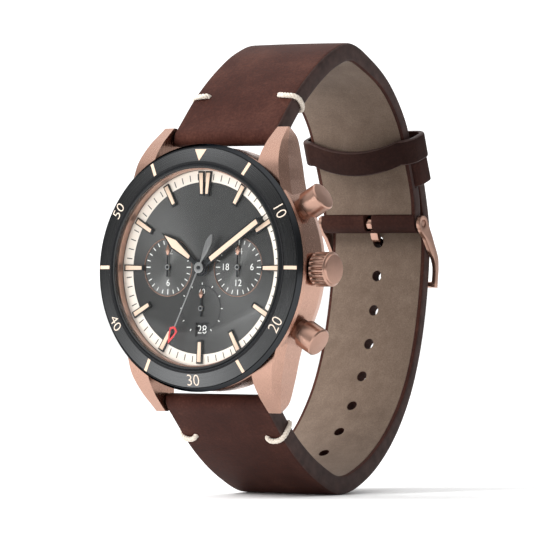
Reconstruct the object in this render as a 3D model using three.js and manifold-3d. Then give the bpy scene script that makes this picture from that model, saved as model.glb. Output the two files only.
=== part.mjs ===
// A chronograph wristwatch on a buckled leather strap.
// Millimetres. +X points to 3 o'clock, +Z to 12 o'clock, and the dial faces -Y.
// The origin is the centre of the case back's flat outer face, the face that rests on the wrist.
//
// The watch head is drawn in its own frame, inside a group that is turned once at the end:
// x to 3 o'clock, y to 12 o'clock, z the height above the case back's outer face.
// The strap and the buckle are drawn in the watch's own frame, in the plane of Y and Z.
import * as THREE from 'three';
import { mergeVertices } from 'three/addons/utils/BufferGeometryUtils.js';
import Module from 'manifold-3d';

const manifold = await Module();
manifold.setup();

// Case and bezel
const CASE_RADIUS = 21.2;
const BORE_RADIUS = 17.65;
const CASE_BOTTOM = 1.05;
const CASE_TOP = 8.9;
const BEZEL_RADIUS = 21.5;
const BEZEL_BOTTOM = 8.95;
const BEZEL_TOP = 10.85;
const INSERT_INNER = 18.1;
const INSERT_OUTER = 20.75;

// Heights inside the head
const BACK_THICKNESS = 1.0;
const PLATE_BOTTOM = 5.9;
const PLATE_TOP = 6.7;
const DIAL_BOTTOM = 8.05;
const DIAL_TOP = 8.45;
const HOUR_HAND_HEIGHT = 9.05;
const MINUTE_HAND_HEIGHT = 9.4;
const STOPWATCH_HAND_HEIGHT = 9.75;
const HAND_THICKNESS = 0.18;
const SMALL_HAND_HEIGHT = 8.62;
const CRYSTAL_BOTTOM = 10.25;

// Dial
const DIAL_RADIUS = 17.5;
const DIAL_OPENING = 17.1;
const INDEX_OUTER = 16.6;
const INDEX_INNER = 12.5;
const INDEX_WIDTH = 1.2;
const COUNTER_CENTRE = new THREE.Vector2(-7.45, 0.15);
const DAY_CENTRE = new THREE.Vector2(7.35, 0.15);
const SECONDS_CENTRE = new THREE.Vector2(-0.1, -7.0);
const SUBDIAL_RADIUS = 5.05;
const DATE_CENTRE = new THREE.Vector2(0, -10.7);
const DATE_WIDTH = 2.4;
const DATE_HEIGHT = 2.3;

// Time shown: nine minutes past ten, with the stopwatch hand stopped at 34 seconds
const MINUTE_HAND_ANGLE = 55.7;
const HOUR_HAND_ANGLE = 305.5;
const STOPWATCH_HAND_ANGLE = 204.5;

// Crown and push buttons, all on the middle height of the case
const CONTROL_HEIGHT = 5.0;
const PUSHER_ANGLE = 29.5;
const PUSHER_TRAVEL = 0.9;
const CROWN_RADIUS = 3.0;
const CROWN_FLUTES = 20;
const CROWN_FLUTE_DEPTH = 0.28;
const CROWN_INNER_FACE = 21.5;
const CROWN_OUTER_FACE = 25.1;

// Lugs and strap
const LUG_GAP = 22;
const BAR_HEIGHT = 2.0;
const BAR_REACH = 23.2;
const BAR_RADIUS = 0.75;
const STRAP_HALF_WIDTH_LUG = 10.8;
const STRAP_HALF_WIDTH_END = 10.0;
const STRAP_HALF_THICK_LUG = 1.65;
const SHORT_HALF_THICK_END = 1.1;
const LONG_HALF_THICK_END = 1.05;
const STRAP_LAYER_PITCH = 2.3;
const HOLE_RADIUS = 1.1;
const HOLE_COUNT = 8;
const HOLE_PITCH = 6.4;
const FIRST_HOLE_HEIGHT = 7.75;

// Keepers, and their distances from the buckle's bar along the strap
const KEEPER_THICKNESS = 1.05;
const KEEPER_CLEARANCE = 0.25;
const FREE_KEEPER_HEIGHT = 4.2;
const FREE_KEEPER_FROM_BUCKLE = 13.6;
const FREE_KEEPER_BOW = 1.2;
const FIXED_KEEPER_HEIGHT = 4.6;
const FIXED_KEEPER_FROM_BUCKLE = 9.05;

// Buckle
const BUCKLE_PIVOT = new THREE.Vector2(44.2, 10.8);
const BUCKLE_BAR_RADIUS = 0.5;
const FOLD_RADIUS = 1.25;
const BUCKLE_ARM_INNER = 10.3;
const BUCKLE_ARM_OUTER = 11.05;
const BUCKLE_OUTER_BAR = new THREE.Vector2(48.9, 0.0);
const BUCKLE_OUTER_BAR_RADIUS = 0.55;
const TONGUE_WIDTH = 1.5;

const LARGE = 36;
const MEDIUM = 16;
const SMALL = 10;
const HAND_BORE = 12;

const roseGold = { color: 0xb98c7a, roughness: 0.35, metalness: 1.0 };
const steel = { color: 0xb4b6b8, roughness: 0.35, metalness: 1.0 };
const brass = { color: 0xb59a5b, roughness: 0.4, metalness: 1.0 };
const darkCeramic = { color: 0x3a3e40, roughness: 0.35, metalness: 0.4 };
const darkDial = { color: 0x55585a, roughness: 0.45, metalness: 0.5 };
const darkHand = { color: 0x2b2d2f, roughness: 0.35, metalness: 0.8 };
const paleHand = { color: 0xc9c9c6, roughness: 0.35, metalness: 0.8 };
const glass = { color: 0xf4f8fa, roughness: 0.03, metalness: 0.0 };
const blackRubber = { color: 0x161616, roughness: 0.8, metalness: 0.0 };
const whitePlastic = { color: 0xd8d8d2, roughness: 0.6, metalness: 0.0 };
const blackPlastic = { color: 0x101010, roughness: 0.6, metalness: 0.0 };
const greenBoard = { color: 0x2f5d3a, roughness: 0.6, metalness: 0.0 };
const copper = { color: 0xa8603a, roughness: 0.5, metalness: 0.9 };
const leather = { color: 0x4a2a22, roughness: 0.65, metalness: 0.0 };

const watch = new THREE.Group();
const head = new THREE.Group();
head.rotation.x = Math.PI / 2;
watch.add(head);

const degrees = THREE.MathUtils.degToRad;

// ---- Geometry helpers ----

function signedVolume(geometry) {
  const position = geometry.getAttribute('position');
  const index = geometry.getIndex();
  const corner = [new THREE.Vector3(), new THREE.Vector3(), new THREE.Vector3()];
  let volume = 0;
  for (let i = 0; i < index.count; i += 3) {
    corner.forEach((point, k) => point.fromBufferAttribute(position, index.getX(i + k)));
    volume += corner[0].dot(corner[1].cross(corner[2])) / 6;
  }
  return volume;
}

// Merge the shared vertices, drop the triangles that a merge has flattened, and turn the faces out.
function closed(geometry) {
  const bare = geometry.clone();
  bare.deleteAttribute('normal');
  bare.deleteAttribute('uv');
  const merged = mergeVertices(bare, 1e-4);
  const old = merged.getIndex();
  const kept = [];
  for (let i = 0; i < old.count; i += 3) {
    const [a, b, c] = [old.getX(i), old.getX(i + 1), old.getX(i + 2)];
    if (a !== b && b !== c && c !== a) kept.push(a, b, c);
  }
  merged.setIndex(kept);
  if (signedVolume(merged) < 0) {
    for (let i = 0; i < kept.length; i += 3) [kept[i], kept[i + 1]] = [kept[i + 1], kept[i]];
    merged.setIndex(kept);
  }
  return merged;
}

function toSolid(geometry) {
  const clean = closed(geometry);
  const mesh = new manifold.Mesh({
    numProp: 3,
    vertProperties: new Float32Array(clean.getAttribute('position').array),
    triVerts: new Uint32Array(clean.getIndex().array),
  });
  return new manifold.Manifold(mesh);
}

function fromSolid(solid) {
  const mesh = solid.getMesh();
  const geometry = new THREE.BufferGeometry();
  geometry.setAttribute('position', new THREE.BufferAttribute(mesh.vertProperties, 3));
  geometry.setIndex(new THREE.BufferAttribute(mesh.triVerts, 1));
  return geometry;
}

function joined(first, ...others) {
  return fromSolid(others.reduce((solid, other) => solid.add(toSolid(other)), toSolid(first)));
}

function cut(first, ...tools) {
  return fromSolid(tools.reduce((solid, tool) => solid.subtract(toSolid(tool)), toSolid(first)));
}

// A solid of revolution about z, from [radius, height] points.
// A profile that starts away from the axis is closed on itself, as a ring.
function turned(profile, segments) {
  const points = profile.map(([radius, height]) => new THREE.Vector2(radius, height));
  if (profile[0][0] > 0) points.push(points[0].clone());
  return new THREE.LatheGeometry(points, segments).rotateX(Math.PI / 2);
}

// A plain ring or, with no inner radius, a disc.
function ring(inner, outer, bottom, top, segments) {
  const profile = [[inner, bottom], [outer, bottom], [outer, top], [inner, top]];
  return turned(profile, segments);
}

function disc(radius, bottom, top, segments, x = 0, y = 0) {
  const height = top - bottom;
  const geometry = new THREE.CylinderGeometry(radius, radius, height, segments).rotateX(Math.PI / 2);
  return geometry.translate(x, y, (top + bottom) / 2);
}

function box(xSize, ySize, zSize, x, y, z) {
  return new THREE.BoxGeometry(xSize, ySize, zSize).translate(x, y, z);
}

// A flat plate: a closed outline of [x, y] points, thick along z.
function plate(outline, bottom, top) {
  const shape = new THREE.Shape(outline.map(([x, y]) => new THREE.Vector2(x, y)));
  const options = { depth: top - bottom, bevelEnabled: false };
  return new THREE.ExtrudeGeometry(shape, options).translate(0, 0, bottom);
}

// A solid through a row of convex sections that all have the same number of points.
function loft(sections) {
  const count = sections[0].length;
  const positions = sections.flat().flatMap((point) => [point.x, point.y, point.z]);
  const index = [];
  for (let s = 0; s + 1 < sections.length; s += 1) {
    for (let k = 0; k < count; k += 1) {
      const a = s * count + k;
      const b = s * count + ((k + 1) % count);
      index.push(a, b, b + count, a, b + count, a + count);
    }
  }
  const last = (sections.length - 1) * count;
  for (let k = 1; k + 1 < count; k += 1) {
    index.push(0, k + 1, k);
    index.push(last, last + k, last + k + 1);
  }
  const geometry = new THREE.BufferGeometry();
  geometry.setAttribute('position', new THREE.Float32BufferAttribute(positions, 3));
  geometry.setIndex(index);
  return geometry;
}

function addPiece(parent, name, geometry, look) {
  const shape = closed(geometry);
  shape.computeVertexNormals();
  const mesh = new THREE.Mesh(shape, new THREE.MeshStandardMaterial(look));
  mesh.name = name;
  parent.add(mesh);
  return mesh;
}

// ---- Head: case, back and bezel ----

// One lug, at 12 o'clock on the crown side. Each section across the lug runs from the flat
// inner face over the front face to a ridge, down a narrow facet and the flank to the foot,
// and back along the underside.
function lugGeometry() {
  const inner = LUG_GAP / 2;
  const stations = [
    { y: 4.0, top: 8.85, ridge: [19.0, 8.75], flank: [19.4, 6.8], foot: [19.0, 1.4] },
    { y: 10.0, top: 8.85, ridge: [17.4, 8.7], flank: [17.75, 6.4], foot: [17.4, 1.3] },
    { y: 15.0, top: 8.85, ridge: [16.0, 8.55], flank: [16.25, 5.8], foot: [16.0, 1.1] },
    { y: 18.0, top: 8.75, ridge: [15.25, 8.0], flank: [15.45, 5.2], foot: [15.25, 0.9] },
    { y: 20.0, top: 7.85, ridge: [14.65, 7.1], flank: [14.85, 4.7], foot: [14.65, 0.7] },
    { y: 22.0, top: 6.2, ridge: [14.0, 5.7], flank: [14.15, 4.0], foot: [14.0, 0.55] },
    { y: 23.2, top: 4.9, ridge: [13.6, 4.5], flank: [13.75, 3.3], foot: [13.6, 0.7] },
    { y: 24.2, top: 3.75, ridge: [13.3, 3.45], flank: [13.4, 2.8], foot: [13.25, 1.5] },
    { y: 24.8, top: 3.0, ridge: [13.1, 2.85], flank: [13.15, 2.6], foot: [13.05, 2.2] },
  ];
  const sections = stations.map(({ y, top, ridge, flank, foot }) => [
    new THREE.Vector3(inner, y, foot[1]),
    new THREE.Vector3(inner, y, top),
    new THREE.Vector3(ridge[0], y, ridge[1]),
    new THREE.Vector3(flank[0], y, flank[1]),
    new THREE.Vector3(foot[0], y, foot[1]),
  ]);
  return loft(sections);
}

// A tool or piece that lies along a ray from the watch's centre at the controls' height.
function alongControl(geometry, angle) {
  return geometry.rotateY(Math.PI / 2).rotateZ(degrees(angle)).translate(0, 0, CONTROL_HEIGHT);
}

function buildCase() {
  const bodyProfile = [
    [BORE_RADIUS, CASE_BOTTOM], [20.1, CASE_BOTTOM], [20.9, 1.6], [CASE_RADIUS, 3.0],
    [CASE_RADIUS, 7.8], [20.75, CASE_TOP], [BORE_RADIUS, CASE_TOP],
  ];
  const body = turned(bodyProfile, LARGE);
  const lugs = [];
  for (const flipX of [1, -1]) {
    for (const flipY of [1, -1]) lugs.push(lugGeometry().scale(flipX, flipY, 1));
  }
  const cutters = [
    disc(BORE_RADIUS, CASE_BOTTOM - 2, CASE_TOP + 1, LARGE),
    alongControl(disc(1.35, 15, 24, SMALL), 0),
  ];
  for (const angle of [PUSHER_ANGLE, -PUSHER_ANGLE]) {
    cutters.push(alongControl(disc(1.4, 15, 22, SMALL), angle));
    cutters.push(alongControl(disc(2.7, 21.1, 27, MEDIUM), angle));
  }
  for (const side of [1, -1]) {
    const barHole = new THREE.CylinderGeometry(0.55, 0.55, 25, SMALL).rotateZ(Math.PI / 2);
    cutters.push(barHole.translate(0, side * BAR_REACH, BAR_HEIGHT));
  }
  addPiece(head, 'case_middle', cut(joined(body, ...lugs), ...cutters), roseGold);

  const backProfile = [
    [0, 0], [18.2, 0], [18.6, 0.35], [18.6, BACK_THICKNESS], [16.9, BACK_THICKNESS],
    [16.9, 1.9], [15.6, 1.9], [15.6, BACK_THICKNESS], [0, BACK_THICKNESS],
  ];
  addPiece(head, 'case_back', turned(backProfile, LARGE), steel);
  addPiece(head, 'case_back_gasket', ring(17.0, 17.55, 1.1, 1.7, LARGE), blackRubber);
}

function buildBezel() {
  const profile = [
    [BORE_RADIUS, BEZEL_BOTTOM], [20.8, BEZEL_BOTTOM], [BEZEL_RADIUS, 9.2], [BEZEL_RADIUS, 9.45],
    [20.95, 10.15], [20.8, 10.15], [20.8, 9.85], [18.05, 10.25], [18.05, BEZEL_TOP],
    [BORE_RADIUS, BEZEL_TOP],
  ];
  addPiece(head, 'bezel', turned(profile, LARGE), darkCeramic);
  const insert = [
    [INSERT_INNER, 10.32], [INSERT_OUTER, 9.93], [INSERT_OUTER, 10.22], [INSERT_INNER, 10.78],
  ];
  addPiece(head, 'bezel_insert', turned(insert, LARGE), darkCeramic);
}

function buildCrystal() {
  const profile = [
    [0, CRYSTAL_BOTTOM], [17.2, CRYSTAL_BOTTOM], [17.2, 10.8], [17.0, 11.0], [0, 11.05],
  ];
  addPiece(head, 'crystal', turned(profile, LARGE), glass);
  addPiece(head, 'crystal_gasket', ring(17.25, 17.6, CRYSTAL_BOTTOM, 10.9, LARGE), blackRubber);
  const flange = [
    [DIAL_OPENING, 8.5], [17.55, 8.5], [17.55, 10.2], [16.95, 10.2],
  ];
  addPiece(head, 'flange_ring', turned(flange, LARGE), roseGold);
}

// ---- Head: dial and hour markers ----

function buildDial() {
  const recessFloor = DIAL_TOP - 0.12;
  const cutters = [
    disc(1.15, 7, 9, MEDIUM),
    box(DATE_WIDTH, DATE_HEIGHT, 2, DATE_CENTRE.x, DATE_CENTRE.y, DIAL_TOP),
  ];
  for (const centre of [COUNTER_CENTRE, DAY_CENTRE]) {
    cutters.push(disc(SUBDIAL_RADIUS, recessFloor, 9, MEDIUM, centre.x, centre.y));
  }
  for (const centre of [COUNTER_CENTRE, DAY_CENTRE, SECONDS_CENTRE]) {
    cutters.push(disc(0.45, 7, 9, SMALL, centre.x, centre.y));
  }
  const blank = disc(DIAL_RADIUS, DIAL_BOTTOM, DIAL_TOP, LARGE);
  addPiece(head, 'dial', cut(blank, ...cutters), darkDial);
}

function buildIndices() {
  const bottom = DIAL_TOP + 0.05;
  const top = bottom + 0.45;
  const length = INDEX_OUTER - INDEX_INNER;
  for (let hour = 1; hour <= 11; hour += 1) {
    const bar = plate(taperedBar(INDEX_WIDTH, INDEX_WIDTH * 0.85, length), bottom, top);
    const name = `index_${String(hour).padStart(2, '0')}`;
    bar.translate(0, INDEX_INNER, 0).rotateZ(degrees(-30 * hour));
    addPiece(head, name, bar, roseGold);
  }
  for (const [side, word] of [[-1, 'left'], [1, 'right']]) {
    const outline = [[0.12, 12.5], [0.95, 12.5], [1.4, 16.8], [0.2, 16.8]];
    const mirrored = outline.map(([x, y]) => [side * x, y]);
    addPiece(head, `index_12_${word}`, plate(mirrored, bottom, top), roseGold);
  }
}

// An outline along +y from y = 0, wide at its outer end.
function taperedBar(outerWidth, innerWidth, length) {
  return [
    [-innerWidth / 2, 0], [innerWidth / 2, 0], [outerWidth / 2, length], [-outerWidth / 2, length],
  ];
}

// ---- Head: movement ----

function controlNotches(halfWidth, inner, outer) {
  const length = outer - inner;
  return [0, PUSHER_ANGLE, -PUSHER_ANGLE].map((angle) => {
    const slot = box(length, 2 * halfWidth, 6.5, (inner + outer) / 2, 0, CONTROL_HEIGHT - 2.45);
    return slot.rotateZ(degrees(angle));
  });
}

function buildMovementFrame() {
  const holder = cut(ring(15.2, 17.5, 2.0, 7.9, LARGE), ...controlNotches(1.6, 14, 19));
  addPiece(head, 'movement_ring', holder, whitePlastic);

  const plateProfile = [
    [0, PLATE_BOTTOM], [13.9, PLATE_BOTTOM], [13.9, 3.8], [15.05, 3.8], [15.05, PLATE_TOP],
    [8.8, PLATE_TOP], [8.8, 7.95], [3.3, 7.95], [3.3, 6.95], [0, 6.95],
  ];
  const holes = [disc(0.75, 5, 8, SMALL)];
  for (const centre of [COUNTER_CENTRE, DAY_CENTRE, SECONDS_CENTRE]) {
    holes.push(disc(0.42, 5, 9, SMALL, centre.x, centre.y));
  }
  const mainPlate = cut(turned(plateProfile, MEDIUM), ...controlNotches(1.4, 12, 17), ...holes);
  addPiece(head, 'main_plate', mainPlate, brass);
}

function buildElectronics() {
  const battery = [
    [0, 1.15], [4.4, 1.15], [4.4, 1.4], [4.75, 1.4], [4.75, 3.0], [0, 3.0],
  ];
  addPiece(head, 'battery', turned(battery, MEDIUM).translate(-6.5, 6.5, 0), steel);

  const board = disc(13.6, 3.2, 3.6, MEDIUM);
  addPiece(head, 'circuit_board', board, greenBoard);

  const coil = new THREE.CylinderGeometry(1.0, 1.0, 9, SMALL).rotateZ(Math.PI / 2);
  addPiece(head, 'motor_coil', coil.translate(-2.5, -10.6, 4.75), copper);
}

// A date disc with a toothless inner edge; the figures are printed on its upper face.
function buildDateDisc() {
  addPiece(head, 'date_disc', ring(9.1, 12.5, 7.7, 7.95, LARGE), blackPlastic);
}

// A wheel on a plain arbor: the wheel lies under the main plate and the arbor reaches the hand.
function arborGeometry(wheelRadius, wheelBottom, arborRadius, top) {
  const profile = [
    [0, wheelBottom - 0.3], [arborRadius, wheelBottom - 0.3], [arborRadius, wheelBottom],
    [wheelRadius, wheelBottom], [wheelRadius, wheelBottom + 0.25], [arborRadius, wheelBottom + 0.25],
    [arborRadius, top], [0, top],
  ];
  return turned(profile, SMALL);
}

// A wheel on a pipe, for the hands that turn round the central arbor.
function pipeGeometry(wheelRadius, wheelBottom, inner, outer, top) {
  const profile = [
    [inner, wheelBottom], [wheelRadius, wheelBottom], [wheelRadius, wheelBottom + 0.25],
    [outer, wheelBottom + 0.25], [outer, top], [inner, top],
  ];
  return turned(profile, SMALL);
}

function buildArbors() {
  const stopwatchTop = STOPWATCH_HAND_HEIGHT + HAND_THICKNESS;
  addPiece(head, 'stopwatch_arbor', arborGeometry(2.2, 4.3, 0.28, stopwatchTop), steel);
  const minuteTop = MINUTE_HAND_HEIGHT + HAND_THICKNESS;
  addPiece(head, 'minute_wheel', pipeGeometry(3.0, 5.0, 0.36, 0.58, minuteTop), brass);
  const hourTop = HOUR_HAND_HEIGHT + HAND_THICKNESS;
  addPiece(head, 'hour_wheel', pipeGeometry(2.8, 7.1, 0.68, 0.92, hourTop), brass);

  const smallTop = SMALL_HAND_HEIGHT + HAND_THICKNESS;
  const arbors = [
    ['counter_arbor', COUNTER_CENTRE], ['day_arbor', DAY_CENTRE], ['seconds_arbor', SECONDS_CENTRE],
  ];
  for (const [name, centre] of arbors) {
    const arbor = arborGeometry(1.6, 5.2, 0.25, smallTop);
    addPiece(head, name, arbor.translate(centre.x, centre.y, 0), steel);
  }
}

// ---- Head: hands, each drawn pointing to 12 o'clock round its own arbor ----

function handGeometry(outline, hubRadius, boreRadius, bottom) {
  const top = bottom + HAND_THICKNESS;
  const blade = joined(plate(outline, bottom, top), disc(hubRadius, bottom, top, HAND_BORE));
  return cut(blade, disc(boreRadius, bottom - 1, top + 1, HAND_BORE));
}

function addHand(name, geometry, angle, centre, look) {
  geometry.rotateZ(degrees(-angle)).translate(centre.x, centre.y, 0);
  addPiece(head, name, geometry, look);
}

function buildCentralHands() {
  const centre = new THREE.Vector2(0, 0);
  const hourOutline = [
    [-0.35, 0], [0.35, 0], [0.42, 2.4], [1.05, 7.3], [0, 10.4], [-1.05, 7.3], [-0.42, 2.4],
  ];
  const hour = handGeometry(hourOutline, 1.5, 0.98, HOUR_HAND_HEIGHT);
  addHand('hour_hand', hour, HOUR_HAND_ANGLE, centre, darkHand);

  const minuteOutline = [
    [-0.35, 0], [0.35, 0], [0.68, 2.4], [0.68, 14.3], [0, 15.9], [-0.68, 14.3], [-0.68, 2.4],
  ];
  const minute = handGeometry(minuteOutline, 1.2, 0.64, MINUTE_HAND_HEIGHT);
  addHand('minute_hand', minute, MINUTE_HAND_ANGLE, centre, darkHand);

  const stopwatchOutline = [
    [-0.65, -5.2], [0, -6.3], [0.65, -5.2], [0.55, -3.4], [0.16, -1.5], [0.14, 11.3],
    [0.85, 11.8], [0.6, 12.9], [0, 14.5], [-0.6, 12.9], [-0.85, 11.8], [-0.14, 11.3],
    [-0.16, -1.5], [-0.55, -3.4],
  ];
  const stopwatch = handGeometry(stopwatchOutline, 0.95, 0.32, STOPWATCH_HAND_HEIGHT);
  addHand('stopwatch_hand', stopwatch, STOPWATCH_HAND_ANGLE, centre, paleHand);
}

function buildSmallHands() {
  const outline = [
    [-0.14, -1.7], [0.14, -1.7], [0.13, 2.2], [0.42, 3.0], [0, 4.0], [-0.42, 3.0], [-0.13, 2.2],
  ];
  const hands = [
    ['counter_hand', COUNTER_CENTRE, 1.0], ['day_hand', DAY_CENTRE, 1.0],
    ['seconds_hand', SECONDS_CENTRE, 0.85],
  ];
  for (const [name, centre, size] of hands) {
    const scaled = outline.map(([x, y]) => [x, y * size]);
    addHand(name, handGeometry(scaled, 0.55, 0.29, SMALL_HAND_HEIGHT), 0, centre, paleHand);
  }
}

// ---- Head: crown and push buttons ----

function flutedOutline(radius, depth, flutes) {
  const outline = [];
  for (let i = 0; i < flutes * 2; i += 1) {
    const angle = (i * Math.PI) / flutes;
    const reach = i % 2 ? radius - depth : radius;
    outline.push([reach * Math.cos(angle), reach * Math.sin(angle)]);
  }
  return outline;
}

function buildCrown() {
  const gripEnd = CROWN_OUTER_FACE - 0.5;
  const outline = flutedOutline(CROWN_RADIUS, CROWN_FLUTE_DEPTH, CROWN_FLUTES);
  const grip = plate(outline, CROWN_INNER_FACE, gripEnd);
  const capProfile = [
    [0, 23.5], [2.65, 23.5], [2.65, gripEnd + 0.3], [2.4, CROWN_OUTER_FACE], [0, CROWN_OUTER_FACE],
  ];
  const cap = turned(capProfile, MEDIUM);
  const tubeBore = disc(1.8, 20, 22.9, MEDIUM);
  const stemBore = disc(0.62, 22, 24.1, SMALL);
  addPiece(head, 'crown', alongControl(cut(joined(grip, cap), tubeBore, stemBore), 0), roseGold);

  addPiece(head, 'crown_tube', alongControl(ring(0.75, 1.25, 17.8, 21.9, SMALL), 0), steel);
  addPiece(head, 'crown_gasket', alongControl(ring(1.32, 1.7, 21.3, 21.8, MEDIUM), 0), blackRubber);

  const stem = [
    [0, 9.9], [0.45, 9.9], [0.45, 11.4], [0.6, 11.4], [0.6, 12.9], [0.5, 12.9], [0.5, 24.0],
    [0, 24.0],
  ];
  addPiece(head, 'winding_stem', alongControl(turned(stem, SMALL), 0), steel);
  addPiece(head, 'setting_sleeve', alongControl(ring(0.52, 0.85, 10.1, 11.2, SMALL), 0), steel);
}

function springGeometry(coilRadius, wireRadius, start, length, turns) {
  const steps = turns * 8;
  const points = [];
  for (let i = 0; i <= steps; i += 1) {
    const angle = (i / steps) * turns * 2 * Math.PI;
    const x = coilRadius * Math.cos(angle);
    const y = coilRadius * Math.sin(angle);
    points.push(new THREE.Vector3(x, y, start + (i / steps) * length));
  }
  const wire = new THREE.Shape();
  wire.absarc(0, 0, wireRadius, 0, 2 * Math.PI);
  const path = new THREE.CatmullRomCurve3(points);
  const options = { steps, extrudePath: path, curveSegments: 2, bevelEnabled: false };
  return new THREE.ExtrudeGeometry(wire, options);
}

function buildPushers() {
  // The button's skirt slides over the flange of its tube when it is pressed.
  const springSeat = 24.0;
  const flangeSeat = 21.6;
  const capProfile = [
    [0, 15.6], [0.8, 15.6], [0.8, springSeat], [1.55, springSeat], [1.55, 23.1], [2.2, 23.1],
    [2.2, 22.3], [2.4, 22.3], [2.5, 22.45], [2.5, 25.35], [2.25, 25.7], [0, 25.75],
  ];
  const tubeProfile = [
    [0.88, 17.9], [1.3, 17.9], [1.3, 21.2], [2.05, 21.2], [2.05, 22.0], [1.45, 22.0],
    [1.45, flangeSeat], [0.88, flangeSeat],
  ];
  for (const [word, angle] of [['upper', PUSHER_ANGLE], ['lower', -PUSHER_ANGLE]]) {
    addPiece(head, `pusher_${word}`, alongControl(turned(capProfile, MEDIUM), angle), roseGold);
    addPiece(head, `pusher_tube_${word}`, alongControl(turned(tubeProfile, MEDIUM), angle), roseGold);
    // The return spring stands at its pressed length, on the tube and round the button's stem.
    const springStart = flangeSeat + 0.2;
    const pressedLength = springSeat - PUSHER_TRAVEL - 0.25 - springStart;
    const spring = springGeometry(1.15, 0.13, springStart, pressedLength, 3);
    addPiece(head, `pusher_spring_${word}`, alongControl(spring, angle), steel);
  }
}

function buildSpringBars() {
  const pinEnd = LUG_GAP / 2 + 1.3;
  const shoulder = LUG_GAP / 2 - 0.15;
  const profile = [
    [0, -pinEnd], [0.42, -pinEnd], [0.42, -shoulder], [BAR_RADIUS, -shoulder],
    [BAR_RADIUS, shoulder], [0.42, shoulder], [0.42, pinEnd], [0, pinEnd],
  ];
  for (const [side, word] of [[1, 'upper'], [-1, 'lower']]) {
    const bar = turned(profile, SMALL).rotateY(Math.PI / 2);
    addPiece(head, `spring_bar_${word}`, bar.translate(0, side * BAR_REACH, BAR_HEIGHT), steel);
  }
}

// ---- Strap ----

// Points of the strap's middle line are given as [y, z].
function strapCurve(points) {
  const places = points.map(([y, z]) => new THREE.Vector3(0, y, z));
  return new THREE.CatmullRomCurve3(places, false, 'centripetal');
}

// A point on the middle line and the line's direction there, straight on past its two ends.
function strapFrame(curve, length) {
  const total = curve.getLength();
  const u = THREE.MathUtils.clamp(length / total, 0, 1);
  const along = curve.getTangentAt(u);
  const point = curve.getPointAt(u).addScaledVector(along, length - u * total);
  return { point, along };
}

// The direction across the strap's thickness: off the wrist on the short half, which runs
// clockwise round the loop, and towards the wrist on the long half.
function thicknessDirection(along) {
  return new THREE.Vector3(0, -along.z, along.y);
}

const shortCurve = strapCurve([
  [-BAR_HEIGHT, BAR_REACH], [3.8, 29.9], [9.3, 34.7], [14.7, 38.15], [20.0, 39.8], [26.0, 38.0],
  [32.3, 34.6], [38.1, 28.4], [41.4, 21.0], [43.5, 15.4], [BUCKLE_PIVOT.x, BUCKLE_PIVOT.y],
]);
const shortLength = shortCurve.getLength();

// The long half lies on the outside of the short half from the buckle to its tip.
function overlapPoint(fromBuckle) {
  const { point, along } = strapFrame(shortCurve, shortLength - fromBuckle);
  return [point.y - along.z * STRAP_LAYER_PITCH, point.z + along.y * STRAP_LAYER_PITCH];
}

const longCurve = strapCurve([
  [-BAR_HEIGHT, -BAR_REACH], [6.1, -30.4], [14.0, -34.9], [21.0, -36.9], [28.3, -34.5],
  [35.7, -28.9], [41.3, -21.4], [44.6, -13.5], [46.8, -2.7], [47.25, 9.0], overlapPoint(6.0),
  overlapPoint(11.0), overlapPoint(16.0),
]);
const longLength = longCurve.getLength();

// The strap's section is a flat bar with its four long edges taken off.
function strapSection(frame, halfWidth, halfThick) {
  const edge = Math.min(0.45, halfThick * 0.45);
  const corners = [
    [halfWidth - edge, halfThick], [halfWidth, halfThick - edge],
    [halfWidth, edge - halfThick], [halfWidth - edge, -halfThick],
    [edge - halfWidth, -halfThick], [-halfWidth, edge - halfThick],
    [-halfWidth, halfThick - edge], [edge - halfWidth, halfThick],
  ];
  const off = thicknessDirection(frame.along);
  return corners.map(([x, n]) => {
    const onLine = new THREE.Vector3(x, frame.point.y, frame.point.z);
    return onLine.addScaledVector(off, n);
  });
}

function roundEnd(radius, distance) {
  return Math.sqrt(Math.max(radius * radius - distance * distance, 0.01));
}

function blendValue(from, to, t) {
  return THREE.MathUtils.lerp(from, to, THREE.MathUtils.smoothstep(t, 0, 1));
}

// Lengths along the strap where its sections stand: close together at the two ends.
function stationLengths(total, before, after, count) {
  const lengths = before.map((d) => -d);
  for (let i = 0; i <= count; i += 1) lengths.push((total * i) / count);
  return lengths.concat(after.map((d) => total + d));
}

function shortStrapGeometry() {
  const startRadius = STRAP_HALF_THICK_LUG;
  const stations = stationLengths(shortLength, [1.6, 1.2], [0.8, 1.2], 18);
  const sections = stations.map((length) => {
    const t = length / shortLength;
    const frame = strapFrame(shortCurve, length);
    let halfThick = blendValue(STRAP_HALF_THICK_LUG, SHORT_HALF_THICK_END, (t - 0.35) / 0.35);
    if (length < 0) halfThick = roundEnd(startRadius, length);
    if (t >= 1) halfThick = roundEnd(FOLD_RADIUS, length - shortLength);
    const halfWidth = THREE.MathUtils.lerp(STRAP_HALF_WIDTH_LUG, STRAP_HALF_WIDTH_END, t);
    return strapSection(frame, halfWidth, halfThick);
  });
  return loft(sections);
}

function longStrapGeometry() {
  const tipLength = 8;
  const stations = stationLengths(longLength - tipLength, [1.6, 1.2], [4, 6.6, 8], 24);
  const sections = stations.map((length) => {
    const t = length / longLength;
    const frame = strapFrame(longCurve, length);
    let halfThick = blendValue(STRAP_HALF_THICK_LUG, LONG_HALF_THICK_END, (t - 0.3) / 0.3);
    if (length < 0) halfThick = roundEnd(STRAP_HALF_THICK_LUG, length);
    const taper = Math.min(t * 1.1, 1);
    const plain = THREE.MathUtils.lerp(STRAP_HALF_WIDTH_LUG, STRAP_HALF_WIDTH_END, taper);
    const pastShoulder = Math.max(length - (longLength - tipLength), 0) / (tipLength + 0.4);
    const halfWidth = plain * Math.sqrt(1 - pastShoulder * pastShoulder);
    return strapSection(frame, halfWidth, halfThick);
  });
  return loft(sections);
}

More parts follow.
